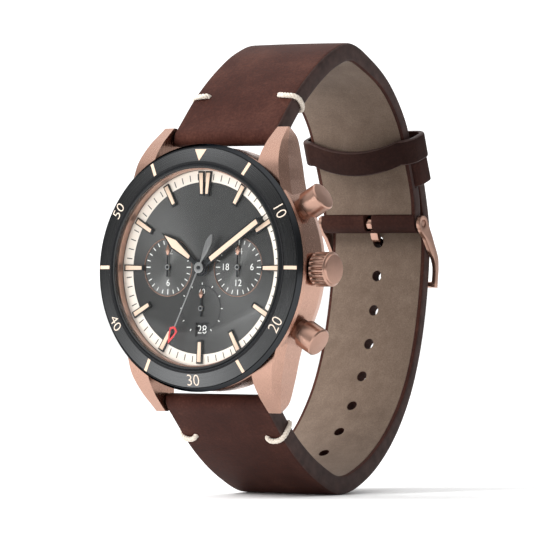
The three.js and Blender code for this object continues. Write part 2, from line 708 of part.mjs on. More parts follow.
function crossBar(radius, halfLength, y, z) {
  const bar = new THREE.CylinderGeometry(radius, radius, 2 * halfLength, SMALL).rotateZ(Math.PI / 2);
  return bar.translate(0, y, z);
}

// A matrix that puts a drawing at a place on the strap: x across it, y through its thickness,
// z back towards the strap's start.
function strapPlacement(curve, length) {
  const { point, along } = strapFrame(curve, length);
  const off = thicknessDirection(along);
  const across = new THREE.Vector3(1, 0, 0);
  const back = new THREE.Vector3().crossVectors(across, off);
  return new THREE.Matrix4().makeBasis(across, off, back).setPosition(point);
}

function buildShortStrap() {
  const tongueSlot = box(3.0, 8, 3.9, 0, BUCKLE_PIVOT.x, BUCKLE_PIVOT.y - 0.2);
  const keeperSlot = box(30, 0.95, FIXED_KEEPER_HEIGHT + 0.3, 0, 0, 0);
  keeperSlot.applyMatrix4(strapPlacement(shortCurve, shortLength - FIXED_KEEPER_FROM_BUCKLE));
  const strap = cut(
    shortStrapGeometry(),
    crossBar(BAR_RADIUS + 0.1, 14, -BAR_HEIGHT, BAR_REACH),
    crossBar(BUCKLE_BAR_RADIUS + 0.08, 14, BUCKLE_PIVOT.x, BUCKLE_PIVOT.y),
    tongueSlot,
    keeperSlot,
  );
  addPiece(watch, 'strap_short', strap, leather);
}

// The last length along a curve where it passes the height z.
function lengthAtHeight(curve, z) {
  const total = curve.getLength();
  const steps = 2000;
  for (let i = steps; i > 0; i -= 1) {
    if (curve.getPointAt(i / steps).z > z && curve.getPointAt((i - 1) / steps).z <= z) {
      return (total * i) / steps;
    }
  }
  return total;
}

// The holes run back from the one that the tongue goes through.
function buildLongStrap() {
  const firstHole = lengthAtHeight(longCurve, FIRST_HOLE_HEIGHT);
  const punches = [];
  for (let i = 0; i < HOLE_COUNT; i += 1) {
    const length = firstHole - i * HOLE_PITCH;
    const punch = new THREE.CylinderGeometry(HOLE_RADIUS, HOLE_RADIUS, 6, SMALL);
    punches.push(punch.applyMatrix4(strapPlacement(longCurve, length)));
  }
  const barHole = crossBar(BAR_RADIUS + 0.1, 14, -BAR_HEIGHT, -BAR_REACH);
  addPiece(watch, 'strap_long', cut(longStrapGeometry(), barHole, ...punches), leather);
}

// ---- Keepers ----

// A loop's outline: a rounded rectangle whose lower side bows out by a given depth.
function bandOutline(target, { halfWidth, low, high, radius, bow }) {
  target.moveTo(-halfWidth + radius, low);
  target.quadraticCurveTo(0, low - 2 * bow, halfWidth - radius, low);
  target.absarc(halfWidth - radius, low + radius, radius, -Math.PI / 2, 0);
  target.lineTo(halfWidth, high - radius);
  target.absarc(halfWidth - radius, high - radius, radius, 0, Math.PI / 2);
  target.lineTo(-halfWidth + radius, high);
  target.absarc(-halfWidth + radius, high - radius, radius, Math.PI / 2, Math.PI);
  target.lineTo(-halfWidth, low + radius);
  target.absarc(-halfWidth + radius, low + radius, radius, Math.PI, 1.5 * Math.PI);
  return target;
}

function bandGeometry(outer, inner, height) {
  const shape = bandOutline(new THREE.Shape(), outer);
  shape.holes.push(bandOutline(new THREE.Path(), inner));
  const options = { depth: height, bevelEnabled: false, curveSegments: 3 };
  return new THREE.ExtrudeGeometry(shape, options).translate(0, 0, -height / 2);
}

// The free keeper goes round both halves and bows out on the wrist side.
// The fixed keeper goes through a slot in the short half and over the long half.
function buildKeepers() {
  const low = -SHORT_HALF_THICK_END - 2 * KEEPER_CLEARANCE;
  const high = STRAP_LAYER_PITCH + LONG_HALF_THICK_END + KEEPER_CLEARANCE;
  const inner = { halfWidth: 10.55, low, high, radius: 0.9, bow: FREE_KEEPER_BOW };
  const outer = {
    halfWidth: inner.halfWidth + KEEPER_THICKNESS,
    low: low - KEEPER_THICKNESS,
    high: high + KEEPER_THICKNESS,
    radius: 1.9,
    bow: FREE_KEEPER_BOW,
  };
  const free = bandGeometry(outer, inner, FREE_KEEPER_HEIGHT);
  free.applyMatrix4(strapPlacement(shortCurve, shortLength - FREE_KEEPER_FROM_BUCKLE));
  addPiece(watch, 'keeper_free', free, leather);

  const fixedInner = { halfWidth: 10.4, low: 0.35, high, radius: 0.3, bow: 0 };
  const fixedOuter = { halfWidth: 11.3, low: -0.35, high: high + 0.9, radius: 0.34, bow: 0 };
  const fixed = bandGeometry(fixedOuter, fixedInner, FIXED_KEEPER_HEIGHT);
  fixed.applyMatrix4(strapPlacement(shortCurve, shortLength - FIXED_KEEPER_FROM_BUCKLE));
  addPiece(watch, 'keeper_fixed', fixed, leather);
}

// ---- Buckle ----

// Turn a plate drawn as [y, z] so that its thickness lies along x, from low to high.
function sidePlate(outline, low, high) {
  const swap = new THREE.Matrix4().makeBasis(
    new THREE.Vector3(0, 1, 0),
    new THREE.Vector3(0, 0, 1),
    new THREE.Vector3(1, 0, 0),
  );
  return plate(outline, low, high).applyMatrix4(swap);
}

// The outline of a bent strip: its middle line is given as points, each with a half width.
function stripOutline(points) {
  const left = [];
  const right = [];
  points.forEach(([y, z, half], i) => {
    const before = points[Math.max(i - 1, 0)];
    const after = points[Math.min(i + 1, points.length - 1)];
    const along = new THREE.Vector2(after[0] - before[0], after[1] - before[1]).normalize();
    left.push([y - along.y * half, z + along.x * half]);
    right.unshift([y + along.y * half, z - along.x * half]);
  });
  return left.concat(right);
}

function buildBuckle() {
  const armLine = [
    [BUCKLE_PIVOT.x - 0.8, BUCKLE_PIVOT.y + 1.15, 0.6],
    [BUCKLE_PIVOT.x - 0.3, BUCKLE_PIVOT.y + 0.45, 1.3],
    [BUCKLE_PIVOT.x + 0.45, BUCKLE_PIVOT.y - 0.6, 1.35],
    [46.0, 8.6, 1.05], [47.5, 6.4, 0.9], [48.65, 4.8, 0.7], [49.1, 3.2, 0.5], [49.1, 1.6, 0.45],
    [BUCKLE_OUTER_BAR.x, BUCKLE_OUTER_BAR.y - 0.5, 0.5],
  ];
  const arm = stripOutline(armLine);
  const right = sidePlate(arm, BUCKLE_ARM_INNER, BUCKLE_ARM_OUTER);
  const left = sidePlate(arm, -BUCKLE_ARM_OUTER, -BUCKLE_ARM_INNER);
  const barLength = BUCKLE_ARM_OUTER - 0.1;
  const { x: barY, y: barZ } = BUCKLE_OUTER_BAR;
  const outerBar = crossBar(BUCKLE_OUTER_BAR_RADIUS, barLength, barY, barZ);
  const eye = crossBar(BUCKLE_BAR_RADIUS + 0.08, 14, BUCKLE_PIVOT.x, BUCKLE_PIVOT.y);
  addPiece(watch, 'buckle_frame', cut(joined(right, left, outerBar), eye), roseGold);

  const bar = crossBar(BUCKLE_BAR_RADIUS, BUCKLE_ARM_OUTER - 0.15, BUCKLE_PIVOT.x, BUCKLE_PIVOT.y);
  addPiece(watch, 'buckle_bar', bar, steel);

  // The tongue loops round the bar, goes out through a hole of the long half and lies on it.
  const tongueLine = [
    [45.05, 10.6, 0.4], [45.2, 9.0, 0.4], [45.65, 8.05, 0.4], [46.6, 7.75, 0.4], [48.2, 7.6, 0.4],
    [48.85, 6.9, 0.4], [48.9, 4.0, 0.4], [48.9, 1.3, 0.4],
  ];
  const half = TONGUE_WIDTH / 2;
  const tongue = sidePlate(stripOutline(tongueLine), -half, half);
  const loop = crossBar(1.2, half, BUCKLE_PIVOT.x, BUCKLE_PIVOT.y);
  const loopBore = crossBar(BUCKLE_BAR_RADIUS + 0.08, 4, BUCKLE_PIVOT.x, BUCKLE_PIVOT.y);
  addPiece(watch, 'buckle_tongue', cut(joined(loop, tongue), loopBore), roseGold);
}

buildCase();
buildBezel();
buildCrystal();
buildDial();
buildIndices();
buildMovementFrame();
buildElectronics();
buildDateDisc();
buildArbors();
buildCentralHands();
buildSmallHands();
buildCrown();
buildPushers();
buildSpringBars();
buildShortStrap();
buildLongStrap();
buildKeepers();
buildBuckle();

export default watch;
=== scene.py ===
import math

import bmesh
import bpy
from mathutils import Matrix, Vector


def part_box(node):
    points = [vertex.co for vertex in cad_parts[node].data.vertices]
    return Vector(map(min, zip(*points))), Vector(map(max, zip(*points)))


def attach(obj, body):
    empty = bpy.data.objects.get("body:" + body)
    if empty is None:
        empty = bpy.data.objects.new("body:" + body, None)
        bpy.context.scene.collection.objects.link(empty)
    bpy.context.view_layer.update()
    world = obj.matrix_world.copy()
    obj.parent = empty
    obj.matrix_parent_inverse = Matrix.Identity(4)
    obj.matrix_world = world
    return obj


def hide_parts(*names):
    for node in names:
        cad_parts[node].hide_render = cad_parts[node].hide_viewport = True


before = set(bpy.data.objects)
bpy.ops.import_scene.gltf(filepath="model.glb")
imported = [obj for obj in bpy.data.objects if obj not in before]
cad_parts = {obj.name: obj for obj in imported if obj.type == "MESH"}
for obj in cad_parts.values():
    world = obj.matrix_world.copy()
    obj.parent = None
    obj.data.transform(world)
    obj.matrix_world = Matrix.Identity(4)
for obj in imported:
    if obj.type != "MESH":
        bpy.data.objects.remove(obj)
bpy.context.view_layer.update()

MM = 0.001
TO_METRES = Matrix.Scale(MM, 4)
HEAD = TO_METRES @ Matrix(((1, 0, 0, 0), (0, 0, -1, 0), (0, 1, 0, 0), (0, 0, 0, 1)))
FULL_TURN = 2 * math.pi


# ---------------------------------------------------------------- sizes taken from the frame

def outer_radius(node):
    low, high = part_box(node)
    return (high.x - low.x) / 2 / MM


def top_of(node):
    return -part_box(node)[0].y / MM


def bottom_of(node):
    return -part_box(node)[1].y / MM


def centre_of(node):
    low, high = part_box(node)
    return (low + high) / 2 / MM


BORE = 17.65
CASE_TOP = bottom_of("bezel") - 0.05
BEZEL_RADIUS = outer_radius("bezel")
BEZEL_BOTTOM = bottom_of("bezel")
BEZEL_TOP = top_of("bezel")
INSERT_OUTER = outer_radius("bezel_insert")
INSERT_INNER = 18.1
INSERT_TOP_OUTER = 10.22
INSERT_TOP_INNER = top_of("bezel_insert")
DIAL_TOP = top_of("dial")
DIAL_RADIUS = outer_radius("dial")
SUBDIAL_RADIUS = 5.05
SUBDIAL_FLOOR = DIAL_TOP - 0.12
COUNTER = centre_of("counter_arbor")
DAY = centre_of("day_arbor")
SECONDS = centre_of("seconds_arbor")
SECONDS_RADIUS = 4.0
DATE_Y = -10.7
WINDOW_HALF_WIDTH = 1.25
WINDOW_HALF_HEIGHT = 1.2
FIGURE_SHIFT = -0.2
INDEX_INNER = 12.5
INDEX_OUTER = 16.6
CONTROL_HEIGHT = 5.0
PUSHER_ANGLE = 29.5
BAR_HEIGHT = 2.0
BAR_REACH = centre_of("spring_bar_upper").z


# ---------------------------------------------------------------- mesh helpers

def finish_mesh(name, mesh, material, body, replaced=(), sharp=35):
    """Link a mesh, shade it smooth up to an angle, and hand it to its body."""
    mesh.shade_smooth()
    mesh.set_sharp_from_angle(angle=math.radians(sharp))
    piece = bpy.data.objects.new(name, mesh)
    bpy.context.scene.collection.objects.link(piece)
    materials = material if isinstance(material, (list, tuple)) else [material]
    if not mesh.materials:
        for entry in materials:
            mesh.materials.append(entry)
    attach(piece, body)
    if replaced:
        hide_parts(*replaced)
    return piece


def mesh_from(name, parts, matrix=HEAD, bevel=0.0, bevel_angle=30, segments=2):
    """One mesh from (vertices, faces) parts, in metres, with its sharp edges rounded."""
    bm = bmesh.new()
    for vertices, faces in parts:
        made = [bm.verts.new(v) for v in vertices]
        for face in faces:
            corners = [made[i] for i in face]
            if len(set(corners)) > 2:
                bm.faces.new(corners)
    bmesh.ops.remove_doubles(bm, verts=bm.verts, dist=1e-5)
    bmesh.ops.recalc_face_normals(bm, faces=bm.faces)
    if bevel:
        limit = math.radians(bevel_angle)
        edges = [e for e in bm.edges if len(e.link_faces) == 2 and e.calc_face_angle() > limit]
        bmesh.ops.bevel(bm, geom=edges, offset=bevel, segments=segments, profile=0.5,
                        affect="EDGES", clamp_overlap=True)
    bm.transform(matrix)
    mesh = bpy.data.meshes.new(name)
    bm.to_mesh(mesh)
    bm.free()
    return mesh


def rounded(points, steps=4):
    """A closed outline of (x, y, radius) corners, with each corner turned into an arc."""
    outline = []
    count = len(points)
    for i, (x, y, radius) in enumerate(points):
        corner = Vector((x, y))
        if not radius:
            outline.append((x, y))
            continue
        before = (Vector(points[i - 1][:2]) - corner).normalized()
        after = (Vector(points[(i + 1) % count][:2]) - corner).normalized()
        half = before.angle(after) / 2
        reach = radius / math.tan(half)
        start, end = corner + before * reach, corner + after * reach
        for k in range(steps + 1):
            t = k / steps
            point = start * (1 - t) ** 2 + corner * 2 * t * (1 - t) + end * t * t
            outline.append((point.x, point.y))
    return outline


def turned(profile, segments=192, shape=None):
    """A ring or solid of revolution about h, from a closed outline of (radius, height)."""
    vertices = []
    for s in range(segments):
        angle = FULL_TURN * s / segments
        for radius, height in profile:
            reach = radius if shape is None else shape(radius, height, angle)
            vertices.append((reach * math.cos(angle), reach * math.sin(angle), height))
    faces = []
    count = len(profile)
    for s in range(segments):
        this, following = s * count, ((s + 1) % segments) * count
        for k in range(count):
            j = (k + 1) % count
            faces.append((this + k, following + k, following + j, this + j))
    return vertices, faces


def flat_ring(inner, outer, low, high, segments):
    return turned([(inner, low), (outer, low), (outer, high), (inner, high)], segments)


def solid_turned(profile, segments=96, shape=None):
    """A solid of revolution whose outline starts and ends on the axis."""
    vertices, faces = turned(profile[1:-1], segments, shape)
    count = len(profile) - 2
    faces = [f for f in faces if not (f[0] % count == count - 1)]
    first, last = len(vertices), len(vertices) + 1
    vertices += [(0, 0, profile[0][1]), (0, 0, profile[-1][1])]
    for s in range(segments):
        this, following = s * count, ((s + 1) % segments) * count
        faces.append((first, following, this))
        faces.append((last, this + count - 1, following + count - 1))
    return vertices, faces


def prism(outline, low, high):
    """A flat plate with an outline of (x, y) points."""
    count = len(outline)
    vertices = [(x, y, low) for x, y in outline] + [(x, y, high) for x, y in outline]
    faces = [tuple(range(count))[::-1], tuple(range(count, 2 * count))]
    faces += [(k, (k + 1) % count, (k + 1) % count + count, k + count) for k in range(count)]
    return vertices, faces


def rectangle(half_width, low, high):
    """The outline of an upright rectangle, centred on x = 0."""
    return [(-half_width, low), (half_width, low), (half_width, high), (-half_width, high)]


def loft(rings, closed=False):
    """A skin over rings that have the same number of points, capped unless it closes on itself."""
    count = len(rings[0])
    vertices = [point for ring in rings for point in ring]
    faces = []
    spans = len(rings) if closed else len(rings) - 1
    for s in range(spans):
        this, following = s * count, ((s + 1) % len(rings)) * count
        for k in range(count):
            j = (k + 1) % count
            faces.append((this + k, this + j, following + j, following + k))
    if not closed:
        last = (len(rings) - 1) * count
        faces.append(tuple(range(count))[::-1])
        faces.append(tuple(range(last, last + count)))
    return vertices, faces


def moved(part, matrix):
    vertices, faces = part
    return [tuple(matrix @ Vector(v)) for v in vertices], faces


def spun(part, clockwise_degrees, x=0.0, y=0.0):
    """Turn a head part clockwise about its own arbor, then move it to the arbor's place."""
    turn = Matrix.Rotation(-math.radians(clockwise_degrees), 4, "Z")
    return moved(part, Matrix.Translation((x, y, 0)) @ turn)


def boolean(mesh, cutters, operation):
    """The mesh joined with or cut by other meshes."""
    base = bpy.data.objects.new("base", mesh)
    bpy.context.scene.collection.objects.link(base)
    others = []
    for cutter in cutters:
        other = bpy.data.objects.new("cutter", cutter)
        bpy.context.scene.collection.objects.link(other)
        modifier = base.modifiers.new("join", "BOOLEAN")
        modifier.operation = operation
        modifier.solver = "EXACT"
        modifier.object = other
        others.append(other)
    bpy.context.view_layer.update()
    result = bpy.data.meshes.new_from_object(base.evaluated_get(bpy.context.evaluated_depsgraph_get()))
    for used in [base, *others]:
        bpy.data.objects.remove(used)
    return result


def soften(mesh, width, angle=30, segments=2):
    """Round the edges of a finished mesh that are sharper than an angle. Width in millimetres."""
    bm = bmesh.new()
    bm.from_mesh(mesh)
    bmesh.ops.remove_doubles(bm, verts=bm.verts, dist=2e-6)
    bmesh.ops.dissolve_degenerate(bm, edges=bm.edges, dist=2e-6)
    limit = math.radians(angle)
    edges = [e for e in bm.edges if len(e.link_faces) == 2 and e.calc_face_angle() > limit]
    bmesh.ops.bevel(bm, geom=edges, offset=width * MM, segments=segments, profile=0.5,
                    affect="EDGES", clamp_overlap=True)
    bm.to_mesh(mesh)
    bm.free()
    return mesh


def text_mesh(name, entries, thickness):
    """One mesh of printed figures. Each entry is (text, height, matrix in millimetres)."""
    bm = bmesh.new()
    for text, height, matrix in entries:
        curve = bpy.data.curves.new("figure", "FONT")
        curve.body = text
        curve.size = height / 0.72
        curve.align_x = "CENTER"
        curve.align_y = "CENTER"
        curve.extrude = thickness / 2
        curve.offset = -0.012 * curve.size
        curve.resolution_u = 5
        holder = bpy.data.objects.new("figure", curve)
        bpy.context.scene.collection.objects.link(holder)
        bpy.context.view_layer.update()
        flat = bpy.data.meshes.new_from_object(holder)
        flat.transform(HEAD @ matrix)
        bm.from_mesh(flat)
        bpy.data.objects.remove(holder)
        bpy.data.meshes.remove(flat)
    mesh = bpy.data.meshes.new(name)
    bm.to_mesh(mesh)
    bm.free()
    return mesh


# ---------------------------------------------------------------- material helpers

class Shader:
    """A material with a Principled shader and short ways to add nodes to it."""

    def __init__(self, name):
        self.material = bpy.data.materials.new(name)
        self.material.use_nodes = True
        self.tree = self.material.node_tree
        self.surface = self.tree.nodes["Principled BSDF"]

    def add(self, kind, inputs=None, **settings):
        node = self.tree.nodes.new(kind)
        for key, value in settings.items():
            setattr(node, key, value)
        for key, value in (inputs or {}).items():
            self.feed(node.inputs[key], value)
        return node

    def feed(self, socket, value):
        if isinstance(value, bpy.types.NodeSocket):
            self.tree.links.new(value, socket)
        else:
            socket.default_value = value

    def set(self, **inputs):
        for key, value in inputs.items():
            self.feed(self.surface.inputs[key.replace("_", " ")], value)

    def math(self, operation, a, b=0.0):
        return self.add("ShaderNodeMath", {0: a, 1: b}, operation=operation).outputs[0]

    def vector(self, operation, a, b=(0, 0, 0)):
        return self.add("ShaderNodeVectorMath", {0: a, 1: b}, operation=operation).outputs[0]

    def place(self):
        return self.add("ShaderNodeTexCoord").outputs["Object"]

    def noise(self, vector, scale, detail=3.0, roughness=0.55):
        inputs = {"Vector": vector, "Scale": scale, "Detail": detail, "Roughness": roughness}
        return self.add("ShaderNodeTexNoise", inputs).outputs["Fac"]

    def cells(self, vector, scale, feature="F1"):
        node = self.add("ShaderNodeTexVoronoi", {"Vector": vector, "Scale": scale}, feature=feature)
        return node.outputs["Distance"]

    def ramp(self, value, stops):
        node = self.add("ShaderNodeValToRGB", {"Fac": value})
        ramp = node.color_ramp
        while len(ramp.elements) < len(stops):
            ramp.elements.new(0.5)
        for element, (position, colour) in zip(ramp.elements, stops):
            element.position = position
            element.color = (*colour, 1)
        return node.outputs["Color"]

    def span(self, value, low, high):
        inputs = {"Value": value, "To Min": low, "To Max": high}
        return self.add("ShaderNodeMapRange", inputs).outputs["Result"]

    def bump(self, height, distance, strength=1.0, normal=None):
        inputs = {"Height": height, "Distance": distance, "Strength": strength}
        node = self.add("ShaderNodeBump", inputs)
        if normal is not None:
            self.feed(node.inputs["Normal"], normal)
        return node.outputs["Normal"]


def streaks(shader, pattern, centre=(0, 0, 0)):
    """A vector that stays the same along a brushing direction.

    round: along circles about the watch's axis; rays: along radii; the rest: along X, Y or Z.
    """
    place = shader.vector("SUBTRACT", shader.place(), centre)
    if pattern in ("x", "y", "z"):
        keep = {"x": (0.03, 1, 1), "y": (1, 0.03, 1), "z": (1, 1, 0.03)}[pattern]
        return shader.vector("MULTIPLY", place, keep)
    flat = shader.vector("MULTIPLY", place, (1, 0, 1))
    if pattern == "rays":
        return shader.vector("MULTIPLY", shader.vector("NORMALIZE", flat), (0.01, 0.01, 0.01))
    length = shader.add("ShaderNodeVectorMath", {0: flat}, operation="LENGTH").outputs["Value"]
    split = shader.add("ShaderNodeSeparateXYZ", {0: place})
    inputs = {"X": length, "Y": split.outputs["Y"]}
    return shader.add("ShaderNodeCombineXYZ", inputs).outputs[0]


def wedges(shader, centre, bearing):
    """A value that is 1 along a line through a centre and 0 across it: the mask of a painted highlight, two
    opposite lighter sectors as on a turned face.
    """
    split = shader.add("ShaderNodeSeparateXYZ", {0: shader.vector("SUBTRACT", shader.place(), centre)})
    angle = shader.math("ARCTAN2", split.outputs["Z"], split.outputs["X"])
    double = shader.math("MULTIPLY", shader.math("SUBTRACT", angle, math.radians(bearing)), 2.0)
    share = shader.math("ADD", shader.math("MULTIPLY", shader.math("COSINE", double), 0.5), 0.5)
    return shader.math("POWER", share, 3.0)


def brushed(name, colour, rough, pattern, scale=9000, depth=0.000004, centre=(0, 0, 0), spread=0.12,
            anisotropy=0.0, metallic=1.0, turn=0.0, painted_sheen=None):
    """Metal or lacquer with fine brushing, small changes of tone, and faint wear. When asked, it also paints
    a highlight into the base colour: two opposite lighter sectors about the centre.
    """
    shader = Shader(name)
    lines = shader.noise(streaks(shader, pattern, centre), scale, 4.0, 0.6)
    patches = shader.noise(shader.place(), 260, 2.0)
    darker = tuple(c * (1 - spread) for c in colour)
    lighter = tuple(min(c * (1 + spread), 1) for c in colour)
    tone = shader.ramp(lines, [(0.3, darker), (0.7, lighter)])
    # painted highlight: the base colour is lifted in two opposite sectors about the centre, standing in for
    # the sheen of brushed or turned metal
    if painted_sheen:
        bearing, sheen_strength = painted_sheen
        painted_lift = shader.math("ADD", shader.math("MULTIPLY", wedges(shader, centre, bearing), sheen_strength), 1.0)
        painted_lift_rgb = shader.add("ShaderNodeCombineXYZ", {0: painted_lift, 1: painted_lift, 2: painted_lift}).outputs[0]
        tone = shader.vector("MULTIPLY", tone, painted_lift_rgb)
    rough_lines = shader.span(lines, rough - 0.06, rough + 0.06)
    rough_all = shader.math("ADD", rough_lines, shader.span(patches, -0.03, 0.03))
    shader.set(Base_Color=tone, Roughness=rough_all, Metallic=metallic,
               Normal=shader.bump(lines, depth), Anisotropic=anisotropy)
    if anisotropy:
        shader.surface.inputs["Anisotropic Rotation"].default_value = turn
        tangent = shader.add("ShaderNodeTangent", direction_type="RADIAL", axis="Y")
        shader.feed(shader.surface.inputs["Tangent"], tangent.outputs[0])
    return shader.material


def polished(name, colour, rough, metallic=1.0):
    """Smooth metal or enamel with faint handling marks."""
    shader = Shader(name)
    marks = shader.noise(shader.place(), 900, 5.0, 0.7)
    fine = shader.noise(shader.place(), 7000, 2.0)
    darker = tuple(c * 0.93 for c in colour)
    tone = shader.ramp(marks, [(0.35, darker), (0.65, colour)])
    shader.set(Base_Color=tone, Metallic=metallic, Roughness=shader.span(marks, rough, rough + 0.08),
               Normal=shader.bump(fine, 0.000002))
    return shader.material


def printed(name, colour, rough=0.45):
    """Paint laid on in a thin raised film."""
    shader = Shader(name)
    grain = shader.noise(shader.place(), 6000, 3.0)
    tone = shader.ramp(grain, [(0.3, tuple(c * 0.94 for c in colour)), (0.7, colour)])
    shader.set(Base_Color=tone, Roughness=shader.span(grain, rough - 0.05, rough + 0.08),
               Normal=shader.bump(grain, 0.000003))
    return shader.material


def leather_material(name, shade=1.0):
    """Smooth waxed leather: drifting reddish browns, small pores and short creases. A shade below 1 darkens
    all the browns, for copies that carry painted shade.
    """
    shader = Shader(name)
    place = shader.place()
    drift = shader.noise(place, 90, 4.0, 0.6)
    mottle = shader.noise(place, 2000, 4.0, 0.7)
    mixed = shader.math("ADD", shader.math("MULTIPLY", drift, 0.55), shader.math("MULTIPLY", mottle, 0.45))
    browns = [(0.34, (0.023, 0.0080, 0.0060)), (0.5, (0.040, 0.0140, 0.0103)),
              (0.66, (0.070, 0.0275, 0.0195))]
    # shade scales the browns down: painted shade for the darker copies
    tone = shader.ramp(mixed, [(spot, tuple(c * shade for c in colour)) for spot, colour in browns])
    pebbles = shader.cells(place, 2600)
    pores = shader.noise(place, 5200, 3.0, 0.6)
    creases = shader.cells(shader.vector("MULTIPLY", place, (0.5, 1, 1)), 420, "DISTANCE_TO_EDGE")
    crease_line = shader.ramp(creases, [(0.0, (0, 0, 0)), (0.05, (1, 1, 1))])
    normal = shader.bump(pebbles, 0.00003, 0.5)
    normal = shader.bump(pores, 0.00002, 0.5, normal)
    normal = shader.bump(crease_line, 0.00001, 0.25, normal)
    shader.set(Base_Color=tone, Roughness=shader.span(mottle, 0.55, 0.78), Normal=normal,
               Specular_IOR_Level=0.1)
    return shader.material


def edge_material():
    """Painted leather edge: darker and smoother, with fine lines along the layers."""
    shader = Shader("leather_edge")
    place = shader.place()
    layers = shader.noise(shader.vector("MULTIPLY", place, (1, 0.25, 0.25)), 3000, 3.0)
    wear = shader.noise(place, 500, 4.0)
    tone = shader.ramp(wear, [(0.3, (0.026, 0.014, 0.012)), (0.7, (0.055, 0.030, 0.026))])
    shader.set(Base_Color=tone, Roughness=shader.span(layers, 0.5, 0.68),
               Normal=shader.bump(layers, 0.00004, 0.6), Specular_IOR_Level=0.2)
    return shader.material


def suede_material():
    """Taupe suede lining: a short nap with a cloudy lie and a soft sheen."""
    shader = Shader("suede")
    place = shader.place()
    clouds = shader.noise(place, 240, 5.0, 0.7)
    nap = shader.noise(place, 4200, 3.0, 0.7)
    fibre = shader.noise(shader.vector("MULTIPLY", place, (1, 0.35, 0.35)), 9000, 2.0)
    mixed = shader.math("ADD", shader.math("MULTIPLY", clouds, 0.5), shader.math("MULTIPLY", nap, 0.5))
    tone = shader.ramp(mixed, [(0.32, (0.100, 0.069, 0.050)), (0.5, (0.136, 0.096, 0.071)),
                               (0.68, (0.182, 0.134, 0.102))])
    normal = shader.bump(nap, 0.00005, 0.6)
    normal = shader.bump(fibre, 0.00003, 0.5, normal)
    shader.set(Base_Color=tone, Roughness=0.92, Normal=normal, Sheen_Weight=0.15, Sheen_Roughness=0.5,
               Specular_IOR_Level=0.15)
    return shader.material


def thread_material():
    """Waxed cream thread, with its fibres showing."""
    shader = Shader("thread")
    place = shader.place()
    fibre = shader.noise(place, 5200, 4.0, 0.7)
    tone = shader.ramp(fibre, [(0.3, (0.42, 0.35, 0.28)), (0.65, (0.78, 0.71, 0.62))])
    shader.set(Base_Color=tone, Roughness=0.75, Normal=shader.bump(fibre, 0.00004, 0.6), Sheen_Weight=0.2)
    return shader.material


GLASS_INDEX = 1.3


def glass_material():
    """Clear glass: its gloss grows at a slant, the same on its outer and its inner face."""
    shader = Shader("crystal_glass")
    tree = shader.tree
    gloss = shader.add("ShaderNodeBsdfGlossy", {"Roughness": 0.02, "Color": (1, 1, 1, 1)})
    clear = shader.add("ShaderNodeBsdfTransparent", {"Color": (0.995, 1, 0.998, 1)})
    inner_face = shader.add("ShaderNodeNewGeometry").outputs["Backfacing"]
    index = shader.span(inner_face, GLASS_INDEX, 1 / GLASS_INDEX)
    fresnel = shader.add("ShaderNodeFresnel", {"IOR": index})
    mix = shader.add("ShaderNodeMixShader", {0: fresnel.outputs[0], 1: clear.outputs[0], 2: gloss.outputs[0]})
    output = next(n for n in tree.nodes if n.type == "OUTPUT_MATERIAL")
    tree.links.new(mix.outputs[0], output.inputs["Surface"])
    tree.nodes.remove(shader.surface)
    return shader.material


ROSE = (0.46, 0.278, 0.214)
STEEL = (0.36, 0.365, 0.37)
rose_upright = brushed("rose_brushed_upright", ROSE, 0.26, "z", 7000, 0.000002)
# a dark rose used as painted shade on the button collars, for the dark gap round each button
rose_painted_shade = polished("rose_painted_shade", (0.20, 0.11, 0.08), 0.35)
rose_round = brushed("rose_brushed_round", ROSE, 0.32, "round", 7000)
rose_polished = polished("rose_polished", ROSE, 0.16)
rose_satin = polished("rose_satin", ROSE, 0.26)
champagne = printed("champagne_lume", (0.62, 0.46, 0.35))
cream = printed("cream_print", (0.62, 0.52, 0.43))
ring_cream = printed("ring_cream", (0.72, 0.65, 0.58))
white_print = printed("white_print", (0.80, 0.80, 0.78))
black_print = printed("black_print", (0.01, 0.01, 0.011))
red_print = printed("red_print", (0.55, 0.03, 0.035), 0.35)
bezel_gloss = polished("bezel_gloss", (0.04, 0.042, 0.045), 0.12)
# the bezel scale's colour carries a painted highlight: two lighter sectors
bezel_satin = brushed("bezel_satin", (0.055, 0.056, 0.057), 0.27, "round", 9000, anisotropy=0.2,
                      painted_sheen=(85, 1.5))
for lacquer in (bezel_gloss, bezel_satin):
    lacquer.node_tree.nodes["Principled BSDF"].inputs["Specular Tint"].default_value = (0.15, 0.15, 0.15, 1)
# the dial's colour carries a painted highlight: a soft lighter sweep in two opposite sectors
dial_rays = brushed("dial_sunray", (0.06, 0.06, 0.06), 0.38, "rays", 4200, 0.0000002, spread=0.04,
                    anisotropy=0.6, metallic=0.85, turn=0.25, painted_sheen=(-35, 1.1))
hand_dark = polished("hand_dark", (0.03, 0.032, 0.035), 0.25)
hand_pale = brushed("hand_pale", (0.33, 0.33, 0.33), 0.3, "z", 9000)
# the case back's colour carries a faint painted highlight in two opposite sectors
steel_round = brushed("steel_brushed_round", STEEL, 0.3, "round", 8000, painted_sheen=(60, 0.5))
steel_plain = polished("steel_plain", STEEL, 0.22)
brass_plain = brushed("brass_plate", (0.62, 0.46, 0.2), 0.35, "round", 6000)
rubber_black = printed("gasket_rubber", (0.018, 0.018, 0.018), 0.7)
black_gloss = polished("black_gloss", (0.006, 0.006, 0.007), 0.12, 0.0)
black_matt = printed("date_black", (0.012, 0.012, 0.013), 0.5)
plastic_white = printed("movement_plastic", (0.62, 0.62, 0.58), 0.55)
board_green = printed("board_green", (0.03, 0.13, 0.05), 0.45)
copper_wire = brushed("copper_winding", (0.58, 0.25, 0.11), 0.35, "y", 9000)
leather = leather_material("leather")
# darker copies of the leather: painted shade for the sewn keeper and the turned-under end, and deeper painted
# shadow for the loose keeper
leather_painted_shade = leather_material("leather_painted_shade", 0.75)
leather_painted_shadow = leather_material("leather_painted_shadow", 0.42)
leather_edge = edge_material()
suede = suede_material()
thread = thread_material()
glass = glass_material()


# ---------------------------------------------------------------- case

